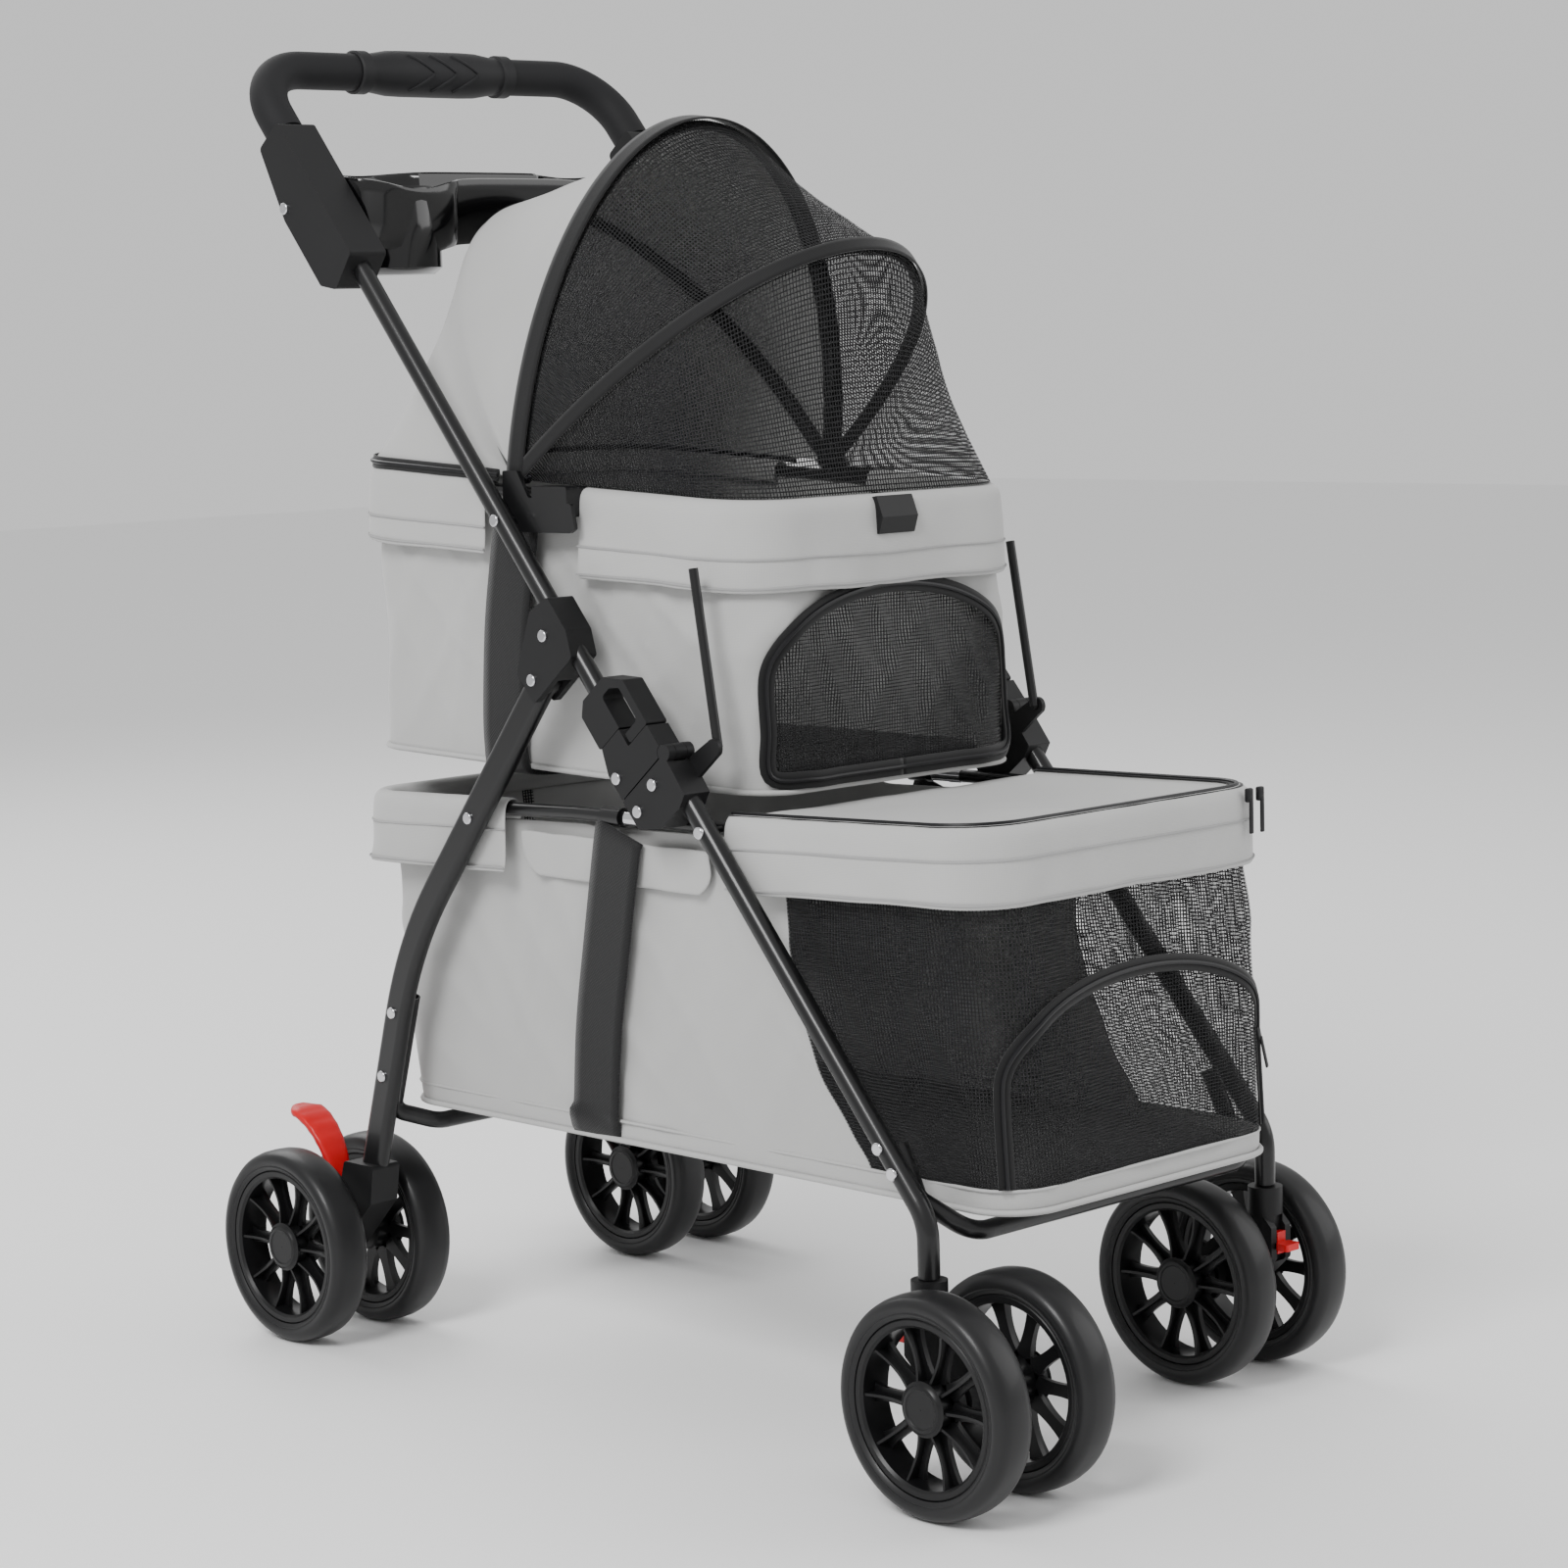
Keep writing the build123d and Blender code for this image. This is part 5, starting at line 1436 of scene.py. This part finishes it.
# ------------------------------------------------------------------------------------ handle
@dataclass
class Tray:
    """The glossy cup tray: a round well at each side, a bin between them and a raised back wall."""

    finishes: Finishes
    cup_x: float = 108.0
    middle_y: float = 312.0
    cup_radius: float = 35.3
    top_z: float = 880.0
    reach: float = 156.0

    def half_depth(self, x: float) -> float:
        """Half of the tray's depth at x: wide at the wells, waisted beside them."""
        bump = max(0.0, 1 - ((abs(x) - self.cup_x) / 47.0) ** 2) ** 0.5
        return 25.0 + 14.0 * bump

    def lip_z(self, x: float, front: bool) -> float:
        """Height of the lip at x: it dips at the wells and rises between them."""
        dip = math.exp(-((abs(x) - self.cup_x) / 34.0) ** 2)
        return self.top_z + (8.0 if front else 15.0) - (9.0 if front else 3.0) * dip

    def build(self) -> None:
        """Makes the tray as one piece."""
        bm = self.skirt()
        for side in SIDES.values():
            self.add_well(bm, side * self.cup_x)
        piece = finish_piece(bm, "tray_shape", [self.finishes.tray], "handle_frame", 40.0)
        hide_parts("cup_tray")

    def skirt(self) -> bmesh.types.BMesh:
        """The outer wall with its rolled lip and the deck between the wells."""
        xs = [-self.reach + 2 * self.reach * step / 72 for step in range(73)]
        ring = [(x, -1) for x in xs] + [(x, 1) for x in reversed(xs)]
        rows = []
        for out, up in ((-5.0, -48.0), (-2.0, -44.0), (0.0, -30.0), (1.0, -8.0), (2.4, -1.6), (1.6, 1.2),
                        (-0.8, 1.8),
                        (-3.0, 0.4), (-4.0, -3.0), (-5.0, -24.0), (-7.0, -27.0)):
            row = []
            for x, side in ring:
                depth = self.half_depth(x) + out
                height = self.lip_z(x, side < 0) + up
                row.append(Vector((x * (1 + out / 400), self.middle_y + side * depth, height)))
            rows.append(row)
        bm = loft(rows, closed=True)
        self.close_rings(bm, len(rows) - 1)
        return bm

    def close_rings(self, bm: bmesh.types.BMesh, last: int) -> None:
        """Closes the underside and the deck with strips from front to back."""
        row_of, column_of = bm.verts.layers.int["row"], bm.verts.layers.int["column"]
        for number in (0, last):
            ring = sorted((v for v in bm.verts if v[row_of] == number), key=lambda v: v[column_of])
            count = len(ring)
            for index in range(count // 2 - 1):
                bm.faces.new((ring[index], ring[index + 1], ring[count - 2 - index], ring[count - 1 - index]))
        bmesh.ops.recalc_face_normals(bm, faces=bm.faces)

    def add_well(self, bm: bmesh.types.BMesh, x: float) -> None:
        """Adds a cup well with a rounded lip."""
        radius, low = self.cup_radius, self.top_z - 60.0
        section = ((0.4, low), (radius - 6, low), (radius, low + 5), (radius, self.top_z + 1),
                   (radius + 1.5, self.top_z + 3),
                   (radius + 3, self.top_z + 1), (radius + 3, low + 2), (radius - 3, low - 3), (0.4, low - 3))
        rows = []
        for distance, height in section:
            rows.append([Vector((x + distance * math.cos(a), self.middle_y - 2 + distance * math.sin(a),
                                 height))
                         for a in (2 * math.pi * step / 48 for step in range(48))])
        part = loft(rows, closed=True)
        absorb(bm, part)


@dataclass
class Grip:
    """The rubber grip: a swelling sleeve with end collars and raised chevrons."""

    finishes: Finishes
    def build(self) -> None:
        """Makes the grip and its chevrons."""
        section = ((-77.5, 15.4), (-76.5, 16.9), (-66.5, 16.9), (-65.5, 15.0), (-63.0, 14.8), (-60.0, 15.2),
                   (-44.0, 17.6),
                   (-30.0, 18.0), (30.0, 18.0), (44.0, 17.6), (60.0, 15.2), (63.0, 14.8), (65.5, 15.0),
                   (66.5, 16.9),
                   (76.5, 16.9), (77.5, 15.4), (77.5, 7.6), (-77.5, 7.6))
        centre = Vector((0.0, 389.84, 975.83))
        piece = finish_piece(spun(section, centre, 64), "grip_shape", [self.finishes.grip], "handle_frame",
                             32.0)
        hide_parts("handle_grip")
        bm = bmesh.new()
        for shift in (-22.0, 0.0, 22.0):
            for leg in (-1, 1):
                points = []
                for step in range(7):
                    a = leg * math.radians(4 + 46 * step / 6)
                    x = shift + 13.0 - 22.0 * step / 6
                    points.append(centre + Vector((x, -18.1 * math.cos(a), 18.1 * math.sin(a))))
                part = tube(points, 1.3, 6)
                absorb(bm, part)
        marks = finish_piece(bm, "grip_chevrons", [self.finishes.grip], "handle_frame", 60.0)


@dataclass
class Struts:
    """Thin steel rods from the folding joints up to the upper cabin's ring."""

    finishes: Finishes

    def build(self) -> None:
        """Makes both rods as one piece."""
        bm = bmesh.new()
        for side in SIDES.values():
            low, high = Vector((side * 162.2, -97.0, 483.0)), Vector((side * 161.6, -76.5, 606.0))
            part = tube([low, low.lerp(high, 0.06), low.lerp(high, 0.5), low.lerp(high, 0.94), high], 3.4, 12)
            absorb(bm, part)
        piece = finish_piece(bm, "strut_rods", [self.finishes.powder_coat], "struts", 40.0)
        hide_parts("struts")


@dataclass
class Pedals:
    """The red brake pedals: curved, ridged paddles."""

    finishes: Finishes

    def build(self) -> None:
        """Makes a paddle at each side."""
        for name, side in SIDES.items():
            spine = smooth_line([Vector((0, 333.0, 119.0)), Vector((0, 340.0, 140.0)),
                                 Vector((0, 352.0, 157.0)),
                                 Vector((0, 368.0, 168.0)), Vector((0, 384.0, 171.0))], 22)
            rows = []
            for index, point in enumerate(spine):
                share = index / 21
                after, before = spine[min(index + 1, 21)], spine[max(index - 1, 0)]
                along = (after - before).normalized()
                out = Vector((0, -along.z, along.y))
                half = 9.0 + 7.0 * share ** 0.8 - 9.0 * max(share - 0.82, 0.0) ** 2 / 0.033
                thick = 3.2 + (0.9 if index % 3 == 0 and 0.3 < share < 0.95 else 0.0)
                ring = []
                for step in range(20):
                    a = 2 * math.pi * step / 20
                    across = math.copysign(abs(math.cos(a)) ** 0.6, math.cos(a)) * max(half, 5.0)
                    up = math.copysign(abs(math.sin(a)) ** 0.6, math.sin(a)) * thick
                    ring.append(point + Vector((side * TRACK + across, 0, 0)) + out * up)
                rows.append(ring)
            bm = loft(rows, closed=True)
            bmesh.ops.holes_fill(bm, edges=[e for e in bm.edges if e.is_boundary], sides=0)
            bmesh.ops.recalc_face_normals(bm, faces=bm.faces)
            piece = finish_piece(bm, f"pedal_shape_{name}", [self.finishes.red], f"brake_{name}", 45.0)
            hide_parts(f"brake_pedal_{name}")


# ------------------------------------------------------------------------------------ frame
@dataclass
class Frame:
    """Finishes for the frame's own parts."""

    finishes: Finishes

    def dress(self) -> None:
        """Gives every shown CAD node its finish."""
        kinds = {
            "powder_coat": ("front_leg", "rear_leg", "front_cross", "rear_cross", "front_rim", "rear_rim",
                            "handle_tube",
                            "upper_ring", "ring_brackets", "struts"),
            "chrome": ("front_rivets", "rear_rivets", "handle_rivets", "knee_sleeves", "rear_axles",
                       "caster_axle"),
            "moulded": ("lock_", "leg_brackets", "tray_clamps", "release_loop", "axle_housings",
                        "caster_fork", "front_hook"),
            "tray": ("cup_tray",),
            "red": ("brake_pedal", "swivel_lock"),
            "foam": ("handle_foam",),
            "grip": ("handle_grip",),
            "wire": ("canopy_bow",),
            "cloth": ("canopy", "upper_bag", "lower_bag"),
            "pad": ("upper_floor", "lower_floor"),
            "tyre": ("tyre_",),
            "rim": ("rim_",),
        }
        order = sorted(((prefix, kind) for kind, prefixes in kinds.items() for prefix in prefixes),
                       key=lambda x: -len(x[0]))
        for node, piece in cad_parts.items():
            kind = next(kind for prefix, kind in order if node.startswith(prefix))
            for place in piece.material_slots:
                place.material = getattr(self.finishes, kind)


# ------------------------------------------------------------------------------------ studio
@dataclass
class Studio:
    """Pale floor, soft light and the camera."""

    camera_place: tuple[float, float, float] = (-1.92666, -1.98900, 0.76780)
    azimuth: float = -44.2
    elevation: float = 7.0
    roll: float = -1.57
    lens: float = 86.72
    shift: tuple[float, float] = (-0.0089, 0.0056)

    def build(self) -> None:
        """Makes the floor, lights and camera."""
        self.floor()
        self.lights()
        self.camera()

    def floor(self) -> None:
        """A wide pale floor."""
        bm = bmesh.new()
        bmesh.ops.create_grid(bm, x_segments=1, y_segments=1, size=12.0)
        mesh = bpy.data.meshes.new("studio_floor")
        bm.to_mesh(mesh)
        bm.free()
        made, _, shader, _ = start_material("studio_floor_pale")
        shader.inputs["Base Color"].default_value = linear("f4f4f4")
        shader.inputs["Roughness"].default_value = 0.6
        mesh.materials.append(made)
        piece = bpy.data.objects.new("studio_floor", mesh)
        bpy.context.scene.collection.objects.link(piece)

    def lights(self) -> None:
        """A bright even room with soft boxes above and at both sides."""
        world = bpy.data.worlds.new("studio_room")
        world.use_nodes = True
        world.node_tree.nodes["Background"].inputs[0].default_value = (1.0, 1.0, 1.0, 1.0)
        world.node_tree.nodes["Background"].inputs[1].default_value = 0.8
        bpy.context.scene.world = world
        for name, place, size, power in (("key", (-2.9, -0.9, 3.0), 1.3, 130.0),
                                         ("fill", (2.8, -2.4, 2.2), 2.6, 45.0),
                                         ("back", (0.6, 3.0, 2.8), 2.4, 60.0)):
            data = bpy.data.lights.new(f"studio_{name}", "AREA")
            data.size, data.energy = size, power
            lamp = bpy.data.objects.new(f"studio_{name}", data)
            lamp.location = place
            lamp.rotation_euler = (Vector((0, 0, 0.5)) - Vector(place)).to_track_quat("-Z", "Y").to_euler()
            bpy.context.scene.collection.objects.link(lamp)

    def camera(self) -> None:
        """The camera, level with the upper cabin and turned to the right front."""
        a, e, r = (math.radians(v) for v in (self.azimuth, self.elevation, self.roll))
        back = Vector((math.sin(a) * math.cos(e), -math.cos(a) * math.cos(e), math.sin(e)))
        right = Vector((math.cos(a), math.sin(a), 0.0))
        up = back.cross(right)
        turned = (right * math.cos(r) + up * math.sin(r), up * math.cos(r) - right * math.sin(r), back)
        data = bpy.data.cameras.new("camera")
        data.lens, data.sensor_width = self.lens, 36.0
        data.shift_x, data.shift_y = self.shift
        camera = bpy.data.objects.new("camera", data)
        camera.matrix_world = Matrix(turned).transposed().to_4x4()
        camera.location = self.camera_place
        bpy.context.scene.collection.objects.link(camera)
        bpy.context.scene.camera = camera


def main() -> None:
    """Builds the studio and every sub-assembly in order."""
    logging.basicConfig(level=logging.INFO, format="%(name)s: %(message)s")
    Studio().build()
    finishes = make_finishes()
    Frame(finishes).dress()
    for kind in (Wheels, Tray, Grip, Struts, Pedals, LowerCabin, UpperCabin, Canopy):
        part = kind(finishes)
        part.build()
        LOG.info("built %s", type(part).__name__)
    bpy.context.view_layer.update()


if __name__ == "__main__":
    main()
